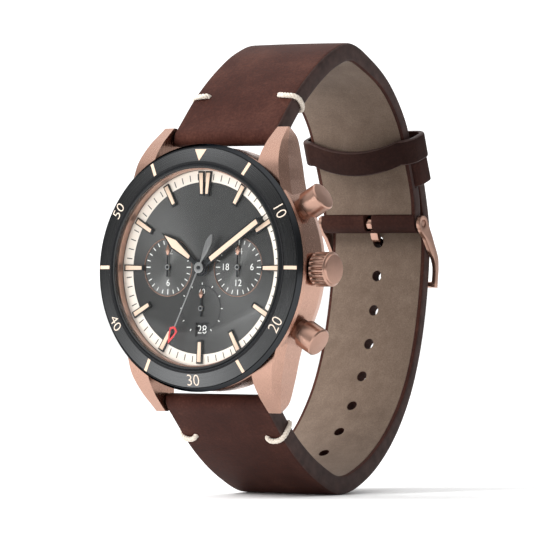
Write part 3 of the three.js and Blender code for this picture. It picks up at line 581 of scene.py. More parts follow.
LUG_STATIONS = [
    # y, top, ridge (x, h), flank (x, h), foot (x, h)
    (4.0, 8.85, (19.0, 8.75), (19.45, 7.2), (19.0, 1.4)),
    (10.0, 8.85, (17.1, 8.75), (17.8, 6.9), (17.3, 1.3)),
    (15.0, 8.85, (15.6, 8.6), (16.3, 6.4), (15.85, 1.1)),
    (18.0, 8.75, (14.95, 8.2), (15.5, 5.8), (15.1, 0.9)),
    (20.0, 7.85, (14.4, 7.3), (14.9, 5.2), (14.5, 0.7)),
    (22.0, 6.2, (13.8, 5.85), (14.2, 4.3), (13.9, 0.55)),
    (23.2, 4.9, (13.45, 4.6), (13.8, 3.5), (13.5, 0.7)),
    (24.2, 3.75, (13.2, 3.5), (13.45, 2.9), (13.15, 1.5)),
    (24.8, 3.0, (13.05, 2.87), (13.18, 2.65), (13.0, 2.2)),
]
LUG_INNER = 11.0


def curve_value(a, b, c, d, t):
    """A Catmull-Rom curve between b and c."""
    square = 2 * a - 5 * b + 4 * c - d
    cube = 3 * b - a - 3 * c + d
    return 0.5 * (2 * b + (c - a) * t + square * t * t + cube * t ** 3)


def smooth_stations(stations, steps=6):
    """More sections between the given ones, along curves through their corners."""
    flat = [[y, top, *ridge, *flank, *foot] for y, top, ridge, flank, foot in stations]
    last = len(flat) - 1
    dense = []
    for i in range(last):
        four = flat[max(i - 1, 0)], flat[i], flat[i + 1], flat[min(i + 2, last)]
        for k in range(steps):
            t = k / steps
            if i in (0, last - 1):
                dense.append([b + (c - b) * t for b, c in zip(four[1], four[2])])
            else:
                dense.append([curve_value(*values, t) for values in zip(*four)])
    dense.append(flat[-1])
    return dense


def lug_part(flip_x, flip_y):
    rings = []
    for y, top, ridge_x, ridge_h, flank_x, flank_h, foot_x, foot_h in smooth_stations(LUG_STATIONS):
        corners = [(LUG_INNER, foot_h), (LUG_INNER, top), (ridge_x, ridge_h), (flank_x, flank_h),
                   (foot_x, foot_h)]
        rings.append([(flip_x * x, flip_y * y, h) for x, h in corners])
    return loft(rings)


def along_control(part, degrees):
    """Lay a turned part along a ray from the centre at the height of the crown and buttons."""
    lay = Matrix.Rotation(math.radians(90), 4, "Y")
    turn = Matrix.Rotation(math.radians(degrees), 4, "Z")
    return moved(part, Matrix.Translation((0, 0, CONTROL_HEIGHT)) @ turn @ lay)


def rod(radius, low, high, segments=48):
    return solid_turned([(0, low), (radius, low), (radius, high), (0, high)], segments)


def make_case():
    profile = rounded([
        (BORE, 1.05, 0), (20.1, 1.05, 0.1), (20.9, 1.6, 0.3), (21.2, 3.0, 0.6), (21.2, 7.8, 0.05),
        (20.75, CASE_TOP, 0.05), (BORE, CASE_TOP, 0),
    ])
    body = mesh_from("case_middle", [turned(profile, 180)])
    lugs = [mesh_from("lug", [lug_part(fx, fy)]) for fx in (1, -1) for fy in (1, -1)]
    whole = boolean(body, lugs, "UNION")
    cutters = [mesh_from("bore", [rod(BORE, 0, 12, 180)]),
               mesh_from("crown_hole", [along_control(rod(1.35, 15, 24), 0)])]
    for angle in (PUSHER_ANGLE, -PUSHER_ANGLE):
        cutters.append(mesh_from("button_hole", [along_control(rod(1.4, 15, 22), angle)]))
    for side in (1, -1):
        hole = moved(rod(0.55, -12.5, 12.5, 24), Matrix.Rotation(math.radians(90), 4, "Y"))
        hole = moved(hole, Matrix.Translation((0, side * BAR_REACH, BAR_HEIGHT)))
        cutters.append(mesh_from("bar_hole", [hole]))
    mesh = soften(boolean(whole, cutters, "DIFFERENCE"), 0.12, 18)
    finish_mesh("case_shell", mesh, rose_upright, "case", ["case_middle"], 6)


def make_back():
    profile = [(0, 0), (14.2, 0), (14.5, 0.12), (14.8, 0), (17.9, 0), (18.5, 0.25), (18.6, 0.5),
               (18.6, 1.0), (0, 1.0)]
    mesh = mesh_from("back_plate", [solid_turned(profile, 192)])
    finish_mesh("back_plate", mesh, steel_round, "case", ["case_back"], 25)


def make_bezel():
    profile = rounded([
        (BORE, BEZEL_BOTTOM, 0), (20.8, BEZEL_BOTTOM, 0.05), (BEZEL_RADIUS, 9.2, 0.12),
        (BEZEL_RADIUS, 9.45, 0.15), (20.98, 10.17, 0.06), (20.8, 10.17, 0.03), (20.8, 9.85, 0),
        (18.05, 10.25, 0), (18.05, BEZEL_TOP, 0.04), (BORE, BEZEL_TOP, 0.08),
    ])
    mesh = mesh_from("bezel_ring", [turned(profile, 256)])
    finish_mesh("bezel_ring", mesh, bezel_gloss, "case", ["bezel"], 25)
    insert = rounded([
        (INSERT_INNER, 10.32, 0), (INSERT_OUTER, 9.93, 0), (INSERT_OUTER, INSERT_TOP_OUTER, 0.04),
        (INSERT_INNER, INSERT_TOP_INNER, 0.04),
    ])
    mesh = mesh_from("bezel_scale", [turned(insert, 256)])
    finish_mesh("bezel_scale", mesh, bezel_satin, "case", ["bezel_insert"], 25)
    border = moved(flat_ring(18.02, 18.42, -0.03, 0.03, 256),
                   Matrix.Translation((0, 0, INSERT_TOP_INNER - 0.02)))
    finish_mesh("scale_border", mesh_from("scale_border", [border]), black_gloss, "case")


SCALE_RADIUS = 19.6
SCALE_SLOPE = math.atan2(INSERT_TOP_INNER - INSERT_TOP_OUTER, INSERT_OUTER - INSERT_INNER)


def on_scale(clockwise_degrees, radius=SCALE_RADIUS, upright=True):
    """A matrix for a mark on the sloping scale ring; its y runs outwards, or inwards if not upright."""
    height = INSERT_TOP_INNER - (radius - INSERT_INNER) * math.tan(SCALE_SLOPE)
    tilt = Matrix.Rotation(-SCALE_SLOPE, 4, "X")
    flip = Matrix.Identity(4) if upright else Matrix.Rotation(math.pi, 4, "Z")
    turn = Matrix.Rotation(-math.radians(clockwise_degrees), 4, "Z")
    return turn @ Matrix.Translation((0, radius, height)) @ tilt @ flip


def make_scale_marks():
    parts = []
    for minute in (5, 15, 25, 35, 45, 55):
        bar = prism(rectangle(0.3, -1.2, 1.2), -0.02, 0.03)
        parts.append(moved(bar, on_scale(6 * minute)))
    triangle = prism([(0, -1.05), (1.2, 1.0), (-1.2, 1.0)], -0.02, 0.03)
    parts.append(moved(triangle, on_scale(0, SCALE_RADIUS - 0.1)))
    finish_mesh("scale_bars", mesh_from("scale_bars", parts), champagne, "case")
    entries = []
    for minute in (10, 20, 30, 40, 50):
        upright = minute in (10, 50)
        entries.append((str(minute), 2.05, on_scale(6 * minute, SCALE_RADIUS, upright)))
    mesh = text_mesh("scale_numerals", entries, 0.06)
    finish_mesh("scale_numerals", mesh, cream, "case")


def make_crystal():
    bottom = bottom_of("crystal")
    top = top_of("crystal")
    profile = [(0, bottom), (17.2, bottom), (17.2, 10.75), (17.12, 10.88), (16.95, 10.94),
               (9, top - 0.02), (0, top)]
    mesh = mesh_from("crystal_disc", [solid_turned(profile, 192)])
    finish_mesh("crystal_disc", mesh, glass, "case", ["crystal"], 40)
    seal = rounded([(17.25, bottom, 0), (17.6, bottom, 0), (17.6, 10.9, 0.06), (17.25, 10.9, 0.06)])
    mesh = mesh_from("crystal_seal", [turned(seal, 192)])
    finish_mesh("crystal_seal", mesh, rubber_black, "case", ["crystal_gasket"])
    flange = rounded([(17.1, 8.5, 0.04), (17.55, 8.5, 0), (17.55, 10.2, 0), (16.95, 10.2, 0.05)])
    mesh = mesh_from("reflector_ring", [turned(flange, 192)])
    finish_mesh("reflector_ring", mesh, rose_round, "case", ["flange_ring"])


# ---------------------------------------------------------------- dial

def make_dial():
    bottom = bottom_of("dial")
    plate = mesh_from("dial_plate", [solid_turned(
        [(0, bottom), (DIAL_RADIUS, bottom), (DIAL_RADIUS, DIAL_TOP), (0, DIAL_TOP)], 192)])
    cutters = []
    for centre in (COUNTER, DAY):
        well = moved(rod(SUBDIAL_RADIUS, SUBDIAL_FLOOR, 10, 96), Matrix.Translation((centre.x, centre.z, 0)))
        cutters.append(mesh_from("well", [well]))
    low, high = DATE_Y - WINDOW_HALF_HEIGHT, DATE_Y + WINDOW_HALF_HEIGHT
    window = prism(rectangle(WINDOW_HALF_WIDTH, low, high), 7, 10)
    cutters.append(mesh_from("window", [window]))
    for x, y, radius in ((0, 0, 1.15), (COUNTER.x, COUNTER.z, 0.45), (DAY.x, DAY.z, 0.45),
                         (SECONDS.x, SECONDS.z, 0.45)):
        cutters.append(mesh_from("hole", [moved(rod(radius, 7, 10, 32), Matrix.Translation((x, y, 0)))]))
    mesh = boolean(plate, cutters, "DIFFERENCE")
    finish_mesh("dial_plate", mesh, dial_rays, "case", ["dial"], 30)


def radial_bars(marks, bottom, top, centre=(0, 0)):
    """Bars as (clockwise degrees, inner radius, outer radius, width)."""
    parts = []
    for degrees, inner, outer, width in marks:
        half = width / 2
        bar = prism(rectangle(half, inner, outer), bottom, top)
        parts.append(spun(bar, degrees, *centre))
    return parts


def make_minute_ring():
    low, high = DIAL_TOP + 0.002, DIAL_TOP + 0.03
    ring = flat_ring(14.95, 17.05, low, high, 192)
    finish_mesh("minute_ring", mesh_from("minute_ring", [ring]), ring_cream, "case")
    marks = [(6 * m, 15.3, 16.4, 0.17) for m in range(60) if m % 5]
    mesh = mesh_from("minute_marks", radial_bars(marks, high, high + 0.015))
    finish_mesh("minute_marks", mesh, black_print, "case")


def flat_figure(x, y, height):
    return Matrix.Translation((x, y, height))


def subdial_face(name, centre):
    """The snailed floor of a sunk sub-dial: fine rings with an anisotropic gloss, and two opposite sectors of
    painted highlight in its colour.
    """
    where = (centre.x * MM, 0, centre.z * MM)
    # the floor's colour is lifted in two opposite sectors as painted highlight
    material = brushed(f"{name}_snailed", (0.10, 0.10, 0.099), 0.3, "round", 22000, 0.000005,
                       centre=where, anisotropy=0.75, metallic=0.9, painted_sheen=(80, 1.2))
    floor = SUBDIAL_FLOOR
    face = flat_ring(0.5, SUBDIAL_RADIUS - 0.06, floor + 0.004, floor + 0.02, 96)
    mesh = mesh_from(name, [spun(face, 0, centre.x, centre.z)])
    finish_mesh(name, mesh, material, "case")
    inner, outer, top = SUBDIAL_RADIUS - 0.07, SUBDIAL_RADIUS + 0.07, DIAL_TOP + 0.03
    rim = rounded([(inner, floor + 0.01, 0), (outer, floor + 0.01, 0), (outer, top, 0.02),
                   (inner, top, 0.02)])
    mesh = mesh_from(f"{name}_rim", [spun(turned(rim, 96), 0, centre.x, centre.z)])
    finish_mesh(f"{name}_rim", mesh, rose_polished, "case")


def make_subdials():
    subdial_face("counter_face", COUNTER)
    subdial_face("day_face", DAY)
    low, high = SUBDIAL_FLOOR + 0.02, SUBDIAL_FLOOR + 0.035
    parts = []
    for centre in (COUNTER, DAY):
        marks = [(15 * k, 4.05, 4.75, 0.12) for k in range(24) if k % 6]
        marks += [(90 * k, 3.85, 4.75, 0.14) for k in range(4)]
        parts += radial_bars(marks, low, high, (centre.x, centre.z))
    finish_mesh("subdial_marks", mesh_from("subdial_marks", parts), white_print, "case")
    figures = [("12", 0, 2.75, COUNTER), ("6", 0, -2.75, COUNTER), ("24", 0, 2.75, DAY),
               ("12", 0, -2.75, DAY), ("6", 2.85, 0, DAY), ("18", -2.75, 0, DAY)]
    entries = [(text, 1.2, flat_figure(c.x + x, c.z + y, high)) for text, x, y, c in figures]
    entries.append(("60", 0.95, flat_figure(SECONDS.x, SECONDS.z + 2.9, DIAL_TOP + 0.01)))
    mesh = text_mesh("subdial_figures", entries, 0.03)
    finish_mesh("subdial_figures", mesh, white_print, "case")
    low, high = DIAL_TOP + 0.002, DIAL_TOP + 0.02
    ring = flat_ring(SECONDS_RADIUS - 0.08, SECONDS_RADIUS + 0.08, low, high, 96)
    mesh = mesh_from("seconds_ring", [spun(ring, 0, SECONDS.x, SECONDS.z)])
    finish_mesh("seconds_ring", mesh, black_print, "case")
    marks = [(30 * k, 4.1, 4.5, 0.12) for k in range(12) if k != 6]
    mesh = mesh_from("seconds_marks", radial_bars(marks, low, high, (SECONDS.x, SECONDS.z)))
    finish_mesh("seconds_marks", mesh, white_print, "case")


def make_indices():
    """Applied bars: dark sides and ends round a cream inlay."""
    bottom, top = DIAL_TOP + 0.05, DIAL_TOP + 0.5
    for hour in range(1, 12):
        node = f"index_{hour:02d}"
        body = prism([(-0.51, INDEX_INNER), (0.51, INDEX_INNER), (0.6, INDEX_OUTER), (-0.6, INDEX_OUTER)],
                     bottom, top - 0.04)
        inlay = prism([(-0.32, 12.85), (0.32, 12.85), (0.40, 16.3), (-0.40, 16.3)], top - 0.08, top - 0.005)
        index_pair(node, spun(body, 30 * hour), spun(inlay, 30 * hour))
    for side, word in ((-1, "left"), (1, "right")):
        body = [(side * x, y) for x, y in ((0.12, 12.5), (0.95, 12.5), (1.4, 16.8), (0.2, 16.8))]
        inlay = [(side * x, y) for x, y in ((0.28, 12.85), (0.78, 12.85), (1.18, 16.5), (0.36, 16.5))]
        index_pair(f"index_12_{word}", prism(body, bottom, top - 0.04), prism(inlay, top - 0.08, top - 0.005))


def index_pair(node, body, inlay):
    finish_mesh(f"{node}_body", mesh_from(node, [body], bevel=0.04), hand_dark, "case", [node])
    finish_mesh(f"{node}_inlay", mesh_from(node, [inlay], bevel=0.02), champagne, "case")


def make_date_disc():
    bottom, top = bottom_of("date_disc"), top_of("date_disc")
    ring = turned(rounded([(9.1, bottom, 0), (12.5, bottom, 0), (12.5, top, 0.03), (9.1, top, 0.03)]), 128)
    mesh = mesh_from("date_ring", [ring])
    finish_mesh("date_ring", mesh, black_matt, "date_ring", ["date_disc"])
    shown_day = 28
    entries = []
    for day in range(1, 32):
        turn = Matrix.Rotation(math.radians(360 / 31 * (day - shown_day)), 4, "Z")
        entries.append((str(day), 1.5, turn @ Matrix.Translation((FIGURE_SHIFT, DATE_Y, top + 0.005))))
    mesh = text_mesh("date_figures", entries, 0.02)
    finish_mesh("date_figures", mesh, white_print, "date_ring")
    outer = rectangle(1.4, DATE_Y - 1.35, DATE_Y + 1.35)
    opening = rectangle(1.24, DATE_Y - 1.19, DATE_Y + 1.19)
    border = window_border(outer, opening, DIAL_TOP + 0.002, DIAL_TOP + 0.03)
    finish_mesh("date_border", mesh_from("date_border", [border]), black_print, "case")


def window_border(outer, inner, low, high):
    """A flat frame between two outlines that have the same number of corners."""
    steps = ((outer, low), (outer, high), (inner, high), (inner, low))
    return loft([[(*corner, height) for corner in outline] for outline, height in steps], closed=True)


# ---------------------------------------------------------------- hands

MINUTE_ANGLE = 55.7
HOUR_ANGLE = 305.5
STOPWATCH_ANGLE = 204.5
HAND_THICKNESS = 0.18
INLAY_BOTTOM = 0.15
INLAY_TOP = 0.22


def hand_blade(outline, hub, bore, bottom, thickness=HAND_THICKNESS):
    """A blade with a pierced hub, as one outline joined at the hub's flanks."""
    blade = mesh_from("blade", [prism(outline, bottom, bottom + thickness)])
    disc = mesh_from("hub", [rod(hub, bottom, bottom + thickness, 48)])
    hole = mesh_from("hole", [rod(bore, bottom - 1, bottom + 1, 32)])
    return soften(boolean(boolean(blade, [disc], "UNION"), [hole], "DIFFERENCE"), 0.03, 30)


def place_hand(name, mesh, degrees, centre, material, body, replaced=()):
    """Turn a finished hand mesh, drawn at 12 o'clock, to its place."""
    turn = Matrix.Rotation(math.radians(degrees), 4, "Y")
    mesh.transform(Matrix.Translation((centre[0] * MM, 0, centre[1] * MM)) @ turn)
    finish_mesh(name, mesh, material, body, replaced, 25)


def inlaid_hand(word, outline, hub, bore, lume, degrees):
    """An hour or minute hand: a dark blade with a cream inlay."""
    height = bottom_of(f"{word}_hand")
    body = f"{word}_train"
    place_hand(f"{word}_blade", hand_blade(outline, hub, bore, height), degrees, (0, 0), hand_dark,
               body, [f"{word}_hand"])
    inlay = prism(lume, height + INLAY_BOTTOM, height + INLAY_TOP)
    mesh = mesh_from(f"{word}_lume", [inlay], bevel=0.02)
    place_hand(f"{word}_lume", mesh, degrees, (0, 0), champagne, body)


def make_central_hands():
    outline = [(-0.35, 0), (0.35, 0), (0.42, 2.4), (1.05, 7.3), (0, 10.4), (-1.05, 7.3), (-0.42, 2.4)]
    lume = [(-0.3, 3.1), (0.3, 3.1), (0.74, 7.2), (0, 9.7), (-0.74, 7.2)]
    inlaid_hand("hour", outline, 1.5, 0.98, lume, HOUR_ANGLE)

    outline = [(-0.35, 0), (0.35, 0), (0.68, 2.4), (0.68, 14.3), (0, 15.9), (-0.68, 14.3), (-0.68, 2.4)]
    inlaid_hand("minute", outline, 1.2, 0.64, rectangle(0.44, 2.6, 14.2), MINUTE_ANGLE)


def make_stopwatch_hand():
    height = bottom_of("stopwatch_hand")
    outline = [(-0.2, -6.2), (0, -6.3), (0.2, -6.2), (0.5, -5.5), (0.64, -4.7), (0.5, -3.2), (0.2, -1.6),
               (0.12, -0.9), (0.09, 11.3), (-0.09, 11.3), (-0.12, -0.9), (-0.2, -1.6), (-0.5, -3.2),
               (-0.64, -4.7), (-0.5, -5.5)]
    place_hand("stopwatch_blade", hand_blade(outline, 0.95, 0.32, height), STOPWATCH_ANGLE, (0, 0), hand_pale,
               "stopwatch_train", ["stopwatch_hand"])
    outer = [(-0.14, 11.25), (0.14, 11.25), (0.85, 11.8), (0.62, 12.9), (0, 14.5), (-0.62, 12.9),
             (-0.85, 11.8)]
    inner = [(-0.1, 11.65), (0.1, 11.65), (0.54, 12.0), (0.36, 12.8), (0, 13.7), (-0.36, 12.8), (-0.54, 12.0)]
    arrow = window_border(outer, inner, height, height + HAND_THICKNESS)
    mesh = mesh_from("stopwatch_arrow", [arrow], bevel=0.02)
    place_hand("stopwatch_arrow", mesh, STOPWATCH_ANGLE, (0, 0), red_print, "stopwatch_train")
    cap = solid_turned([(0, height + 0.1), (0.34, height + 0.1), (0.34, height + 0.3), (0.2, height + 0.34),
                        (0, height + 0.35)], 32)
    finish_mesh("stopwatch_cap", mesh_from("stopwatch_cap", [cap]), hand_dark, "stopwatch_train")


def make_small_hands():
    height = bottom_of("day_hand")
    for word, centre, size in (("counter", COUNTER, 1.0), ("day", DAY, 1.0), ("seconds", SECONDS, 0.85)):
        node, body = f"{word}_hand", f"{word}_train"
        stick = [(-0.13, -1.7 * size), (0.13, -1.7 * size), (0.09, 2.2 * size), (-0.09, 2.2 * size)]
        mesh = hand_blade(stick, 0.4, 0.28, height)
        place_hand(f"{node}_stick", mesh, 0, (centre.x, centre.z), hand_dark, body, [node])
        high = height + HAND_THICKNESS + 0.03
        hub = flat_ring(0.28, 0.48, height, high, 40)
        hub = mesh_from("hub", [spun(hub, 0, centre.x, centre.z)], bevel=0.03)
        finish_mesh(f"{node}_hub", hub, hand_pale, body)
        leaf = [(-0.13, 2.1), (0.13, 2.1), (0.5, 2.9), (0, 4.0), (-0.5, 2.9)]
        leaf = [(x, y * size) for x, y in leaf]
        mesh = mesh_from("leaf", [prism(leaf, height + 0.02, height + HAND_THICKNESS + 0.02)], bevel=0.03)
        place_hand(f"{node}_leaf", mesh, 0, (centre.x, centre.z), rose_polished, body)


# ---------------------------------------------------------------- crown and push buttons

CROWN_FLUTES = 20
FLUTE_DEPTH = 0.3
CROWN_INNER = 21.5
CROWN_OUTER = 25.1


def flute(radius, height, angle):
    """The crown's grip: rounded ribs with narrow valleys that stop short of both ends."""
    if radius < 2.8 or not CROWN_INNER + 0.3 < height < CROWN_OUTER - 0.7:
        return radius
    valley = (0.5 + 0.5 * math.cos(CROWN_FLUTES * angle)) ** 1.8
    return radius - FLUTE_DEPTH * valley


def make_crown():
    inner, outer = CROWN_INNER, CROWN_OUTER
    profile = rounded([
        (1.8, inner, 0), (2.8, inner, 0.08), (3.0, inner + 0.2, 0.05), (3.0, inner + 0.45, 0),
        (3.0, 22.6, 0), (3.0, 23.4, 0), (3.0, 24.3, 0), (3.0, outer - 0.5, 0.15),
        (2.66, outer - 0.36, 0.04), (2.66, outer - 0.16, 0.08), (2.5, outer, 0.06), (0.01, outer, 0),
        (0.01, 22.9, 0), (1.8, 22.9, 0),
    ], 3)
    mesh = mesh_from("crown_grip", [along_control(turned(profile, 360, flute), 0)])
    finish_mesh("crown_grip", mesh, rose_satin, "crown_assembly", ["crown"], 40)


def make_buttons():
    for word, angle in (("upper", PUSHER_ANGLE), ("lower", -PUSHER_ANGLE)):
        cap = rounded([
            (0.8, 16.8, 0.05), (0.8, 24.0, 0), (1.55, 24.0, 0), (1.55, 23.1, 0), (2.2, 23.1, 0),
            (2.2, 22.3, 0.03), (2.5, 22.3, 0.1), (2.5, 25.45, 0.05), (2.3, 25.68, 0.08), (0.01, 25.75, 0),
            (0.01, 16.8, 0),
        ])
        mesh = mesh_from("button", [along_control(turned(cap, 96), angle)])
        finish_mesh(f"button_cap_{word}", mesh, rose_satin, f"button_{word}",
                    [f"pusher_{word}"], 22)
        collar = rounded([
            (0.88, 17.9, 0), (1.3, 17.9, 0), (1.3, 21.0, 0), (2.0, 21.0, 0), (2.0, 22.0, 0.12),
            (1.45, 22.0, 0.05), (1.45, 21.6, 0), (0.88, 21.6, 0),
        ])
        mesh = mesh_from("collar", [along_control(turned(collar, 96), angle)])
        # the collar's colour is painted shade: a dark rose for the gap round the button
        finish_mesh(f"button_collar_{word}", mesh, rose_painted_shade, "case",
                    [f"pusher_tube_{word}"], 30)


# ---------------------------------------------------------------- strap

class Route:
    """A smooth line through [y, z] points: a centripetal Catmull-Rom curve with its length."""

    def __init__(self, points, outward, steps=40):
        self.outward = outward
        knots = [Vector(p) for p in points]
        knots = [2 * knots[0] - knots[1], *knots, 2 * knots[-1] - knots[-2]]
        self.points = []
        for i in range(1, len(knots) - 2):
            for k in range(steps):
                self.points.append(self.between(knots[i - 1:i + 3], k / steps))
        self.points.append(knots[-2])
        self.lengths = [0.0]
        for a, b in zip(self.points, self.points[1:]):
            self.lengths.append(self.lengths[-1] + (b - a).length)
        self.total = self.lengths[-1]

    @staticmethod
    def between(four, t):
        gaps = [max((b - a).length ** 0.5, 1e-4) for a, b in zip(four, four[1:])]
        a, b, c, d = four
        before, here, after = gaps
        start = ((b - a) / before - (c - a) / (before + here) + (c - b) / here) * here
        end = ((c - b) / here - (d - b) / (here + after) + (d - c) / after) * here
        blend = 2 * b - 2 * c + start + end
        cubic = -3 * b + 3 * c - 2 * start - end
        return blend * t ** 3 + cubic * t ** 2 + start * t + b

    def at(self, length):
        """The point at a length along the line, and the direction there; straight on past its ends."""
        inside = min(max(length, 0.0), self.total)
        low, high = 0, len(self.lengths) - 1
        while high - low > 1:
            middle = (low + high) // 2
            low, high = (middle, high) if self.lengths[middle] <= inside else (low, middle)
        span = self.lengths[high] - self.lengths[low]
        t = (inside - self.lengths[low]) / span
        first = self.points[max(low - 1, 0)]
        last = self.points[min(high + 1, len(self.points) - 1)]
        along = (last - first).normalized()
        return self.points[low].lerp(self.points[high], t) + along * (length - inside), along

    def off(self, along):
        """The direction away from the wrist, at a place where the line runs along a direction."""
        return Vector((-along.y, along.x)) * self.outward


PIVOT = (44.2, 10.8)
LAYER_PITCH = 2.3
short_route = Route([
    (-BAR_HEIGHT, BAR_REACH), (3.8, 29.9), (9.3, 34.7), (14.7, 38.15), (20.0, 39.8), (26.0, 38.0),
    (32.3, 34.6), (38.1, 28.4), (41.4, 21.0), (43.5, 15.4), PIVOT,
], 1)


def overlap_point(from_buckle):
    point, along = short_route.at(short_route.total - from_buckle)
    return point + short_route.off(along) * LAYER_PITCH


long_route = Route([
    (-BAR_HEIGHT, -BAR_REACH), (6.1, -30.4), (14.0, -34.9), (21.0, -36.9), (28.3, -34.5), (35.7, -28.9),
    (41.3, -21.4), (44.6, -13.5), (46.8, -2.7), (47.25, 9.0), overlap_point(6.0), overlap_point(11.0),
    overlap_point(16.0),
], -1)


def eased(low, high, t):
    t = min(max(t, 0.0), 1.0)
    return low + (high - low) * t * t * (3 - 2 * t)


HALF_WIDTH_LUG = 10.8
HALF_WIDTH_END = 10.0
HALF_THICK_LUG = 1.65
FOLD_RADIUS = 1.25
TIP_LENGTH = 8
ROUND_START = (-1.63, -1.5, -1.2, -0.7)


def round_end(radius, distance):
    return math.sqrt(max(radius ** 2 - distance ** 2, 0.01))


def short_size(length):
    """Half width and half thickness of the short half at a length."""
    t = length / short_route.total
    thick = eased(HALF_THICK_LUG, 1.1, (t - 0.35) / 0.35)
    if length < 0:
        thick = round_end(HALF_THICK_LUG, length)
    if length > short_route.total:
        thick = round_end(FOLD_RADIUS, length - short_route.total)
    return HALF_WIDTH_LUG + (HALF_WIDTH_END - HALF_WIDTH_LUG) * min(max(t, 0), 1), thick


def long_size(length):
    """Half width and half thickness of the long half at a length; its tip is rounded."""
    t = length / long_route.total
    thick = eased(HALF_THICK_LUG, 1.05, (t - 0.3) / 0.3)
    if length < 0:
        thick = round_end(HALF_THICK_LUG, length)
    plain = HALF_WIDTH_LUG + (HALF_WIDTH_END - HALF_WIDTH_LUG) * min(t * 1.1, 1)
    past = max(length - (long_route.total - TIP_LENGTH), 0) / (TIP_LENGTH + 0.4)
    return plain * math.sqrt(max(1 - past * past, 0)), thick


def section(route, length, outline):
    """Points of a strap section: outline gives (x, distance off the middle line)."""
    point, along = route.at(length)
    off = route.off(along)
    ring = []
    for x, n in outline:
        ring.append((x, point.x + off.x * n, point.y + off.y * n))
    return ring


def strap_outline(half_width, half_thick):
    """A strap section: a softly crowned top, rounded painted edges and a flat back."""
    edge = min(0.75, half_thick * 0.7)
    low = min(0.4, half_thick * 0.4)
    corners = rounded([(half_width, half_thick - 0.08, edge), (half_width, -half_thick, low),
                       (-half_width, -half_thick, low), (-half_width, half_thick - 0.08, edge)], 5)
    crown = [(-half_width * k / 4, half_thick - 0.08 * (k / 4) ** 2) for k in (2, 0, -2)]
    return corners + crown


def spaced(start, end, count):
    return [start + (end - start) * k / count for k in range(count + 1)]


def strap_mesh(name, route, size, stations):
    """The leather body of one strap half: material 1 covers its painted edges."""
    rings = []
    for length in stations:
        half_width, half_thick = size(length)
        rings.append(section(route, length, strap_outline(half_width, half_thick)))
    mesh = mesh_from(name, [loft(rings)], TO_METRES)
    mesh.materials.append(leather)
    mesh.materials.append(leather_edge)
    for face in mesh.polygons:
        if abs(face.normal.x) > 0.55:
            face.material_index = 1
    return mesh


def place_on(route, length, offset=0.0):
    """A matrix: x across the strap, y off the wrist, z back towards the strap's start."""
    point, along = route.at(length)
    across = Vector((1, 0, 0))
    off = Vector((0, *route.off(along)))
    third = across.cross(off)
    matrix = Matrix((across, off, third)).transposed().to_4x4()
    matrix.translation = Vector((0, point.x, point.y)) + off * offset
    return matrix


def strap_blank(part):
    """A mesh in the watch's frame that is joined to a piece or cut from one."""
    return mesh_from("blank", [part], TO_METRES)


def strap_bar(radius, y, z, half_length=14):
    lay = Matrix.Rotation(math.radians(90), 4, "Y")
    return moved(rod(radius, -half_length, half_length, 32), Matrix.Translation((0, y, z)) @ lay)


FIXED_KEEPER = 9.05
FREE_KEEPER = 13.8
FIRST_HOLE_Z = 7.75
HOLE_PITCH = 6.4
HOLE_COUNT = 8
UNSTRETCHED = 0.15
SPRING_BAR_HOLE = 0.85
BUCKLE_BAR_HOLE = 0.58


def hole_lengths():
    steps = 3000
    lengths = [long_route.total * k / steps for k in range(steps)]
    first = max(s for s in lengths if long_route.at(s)[0].y < FIRST_HOLE_Z and s < long_route.total - 5)
    return [first - k * HOLE_PITCH for k in range(HOLE_COUNT)]


def box_part(x, y, z):
    return prism([(-x / 2, -y / 2), (x / 2, -y / 2), (x / 2, y / 2), (-x / 2, y / 2)], -z / 2, z / 2)


def punches(radius, matrix_at):
    """Cutters for the strap holes. The tongue has stretched the first one."""
    lie = Matrix.Rotation(math.radians(90), 4, "X")
    cutters = []
    for k, length in enumerate(hole_lengths()):
        size = radius if k == 0 else radius - UNSTRETCHED
        cutters.append(strap_blank(moved(rod(size, -3, 3, 28), matrix_at(length) @ lie)))
    return cutters


def make_short_strap():
    stations = [*ROUND_START, *spaced(0, short_route.total, 96),
                *[short_route.total + d for d in (0.5, 0.85, 1.1, 1.22)]]
    mesh = strap_mesh("strap_short_leather", short_route, short_size, stations)
    keeper_slot = moved(box_part(30, 0.95, 4.9), place_on(short_route, short_route.total - FIXED_KEEPER))
    cutters = [strap_blank(keeper_slot), *tongue_slots(),
               strap_blank(strap_bar(SPRING_BAR_HOLE, -BAR_HEIGHT, BAR_REACH)),
               strap_blank(strap_bar(BUCKLE_BAR_HOLE, *PIVOT))]
    mesh = boolean(mesh, cutters, "DIFFERENCE")
    finish_mesh("strap_short_leather", mesh, leather, "case", ["strap_short"], 40)
    lining_mesh("strap_short_lining", short_route, short_size, spaced(2.2, short_route.total - 1.7, 80), [])
    make_fold()


def tongue_slots():
    """The slit that the tongue's loop looks through, and its way out on the outer side."""
    front = moved(box_part(1.7, 6, 2.9), Matrix.Translation((0, PIVOT[0] - 3, PIVOT[1])))
    back = moved(box_part(1.9, 6, 6.4), Matrix.Translation((0, PIVOT[0] + 2.99, PIVOT[1] - 1.2)))
    return [strap_blank(front), strap_blank(back)]


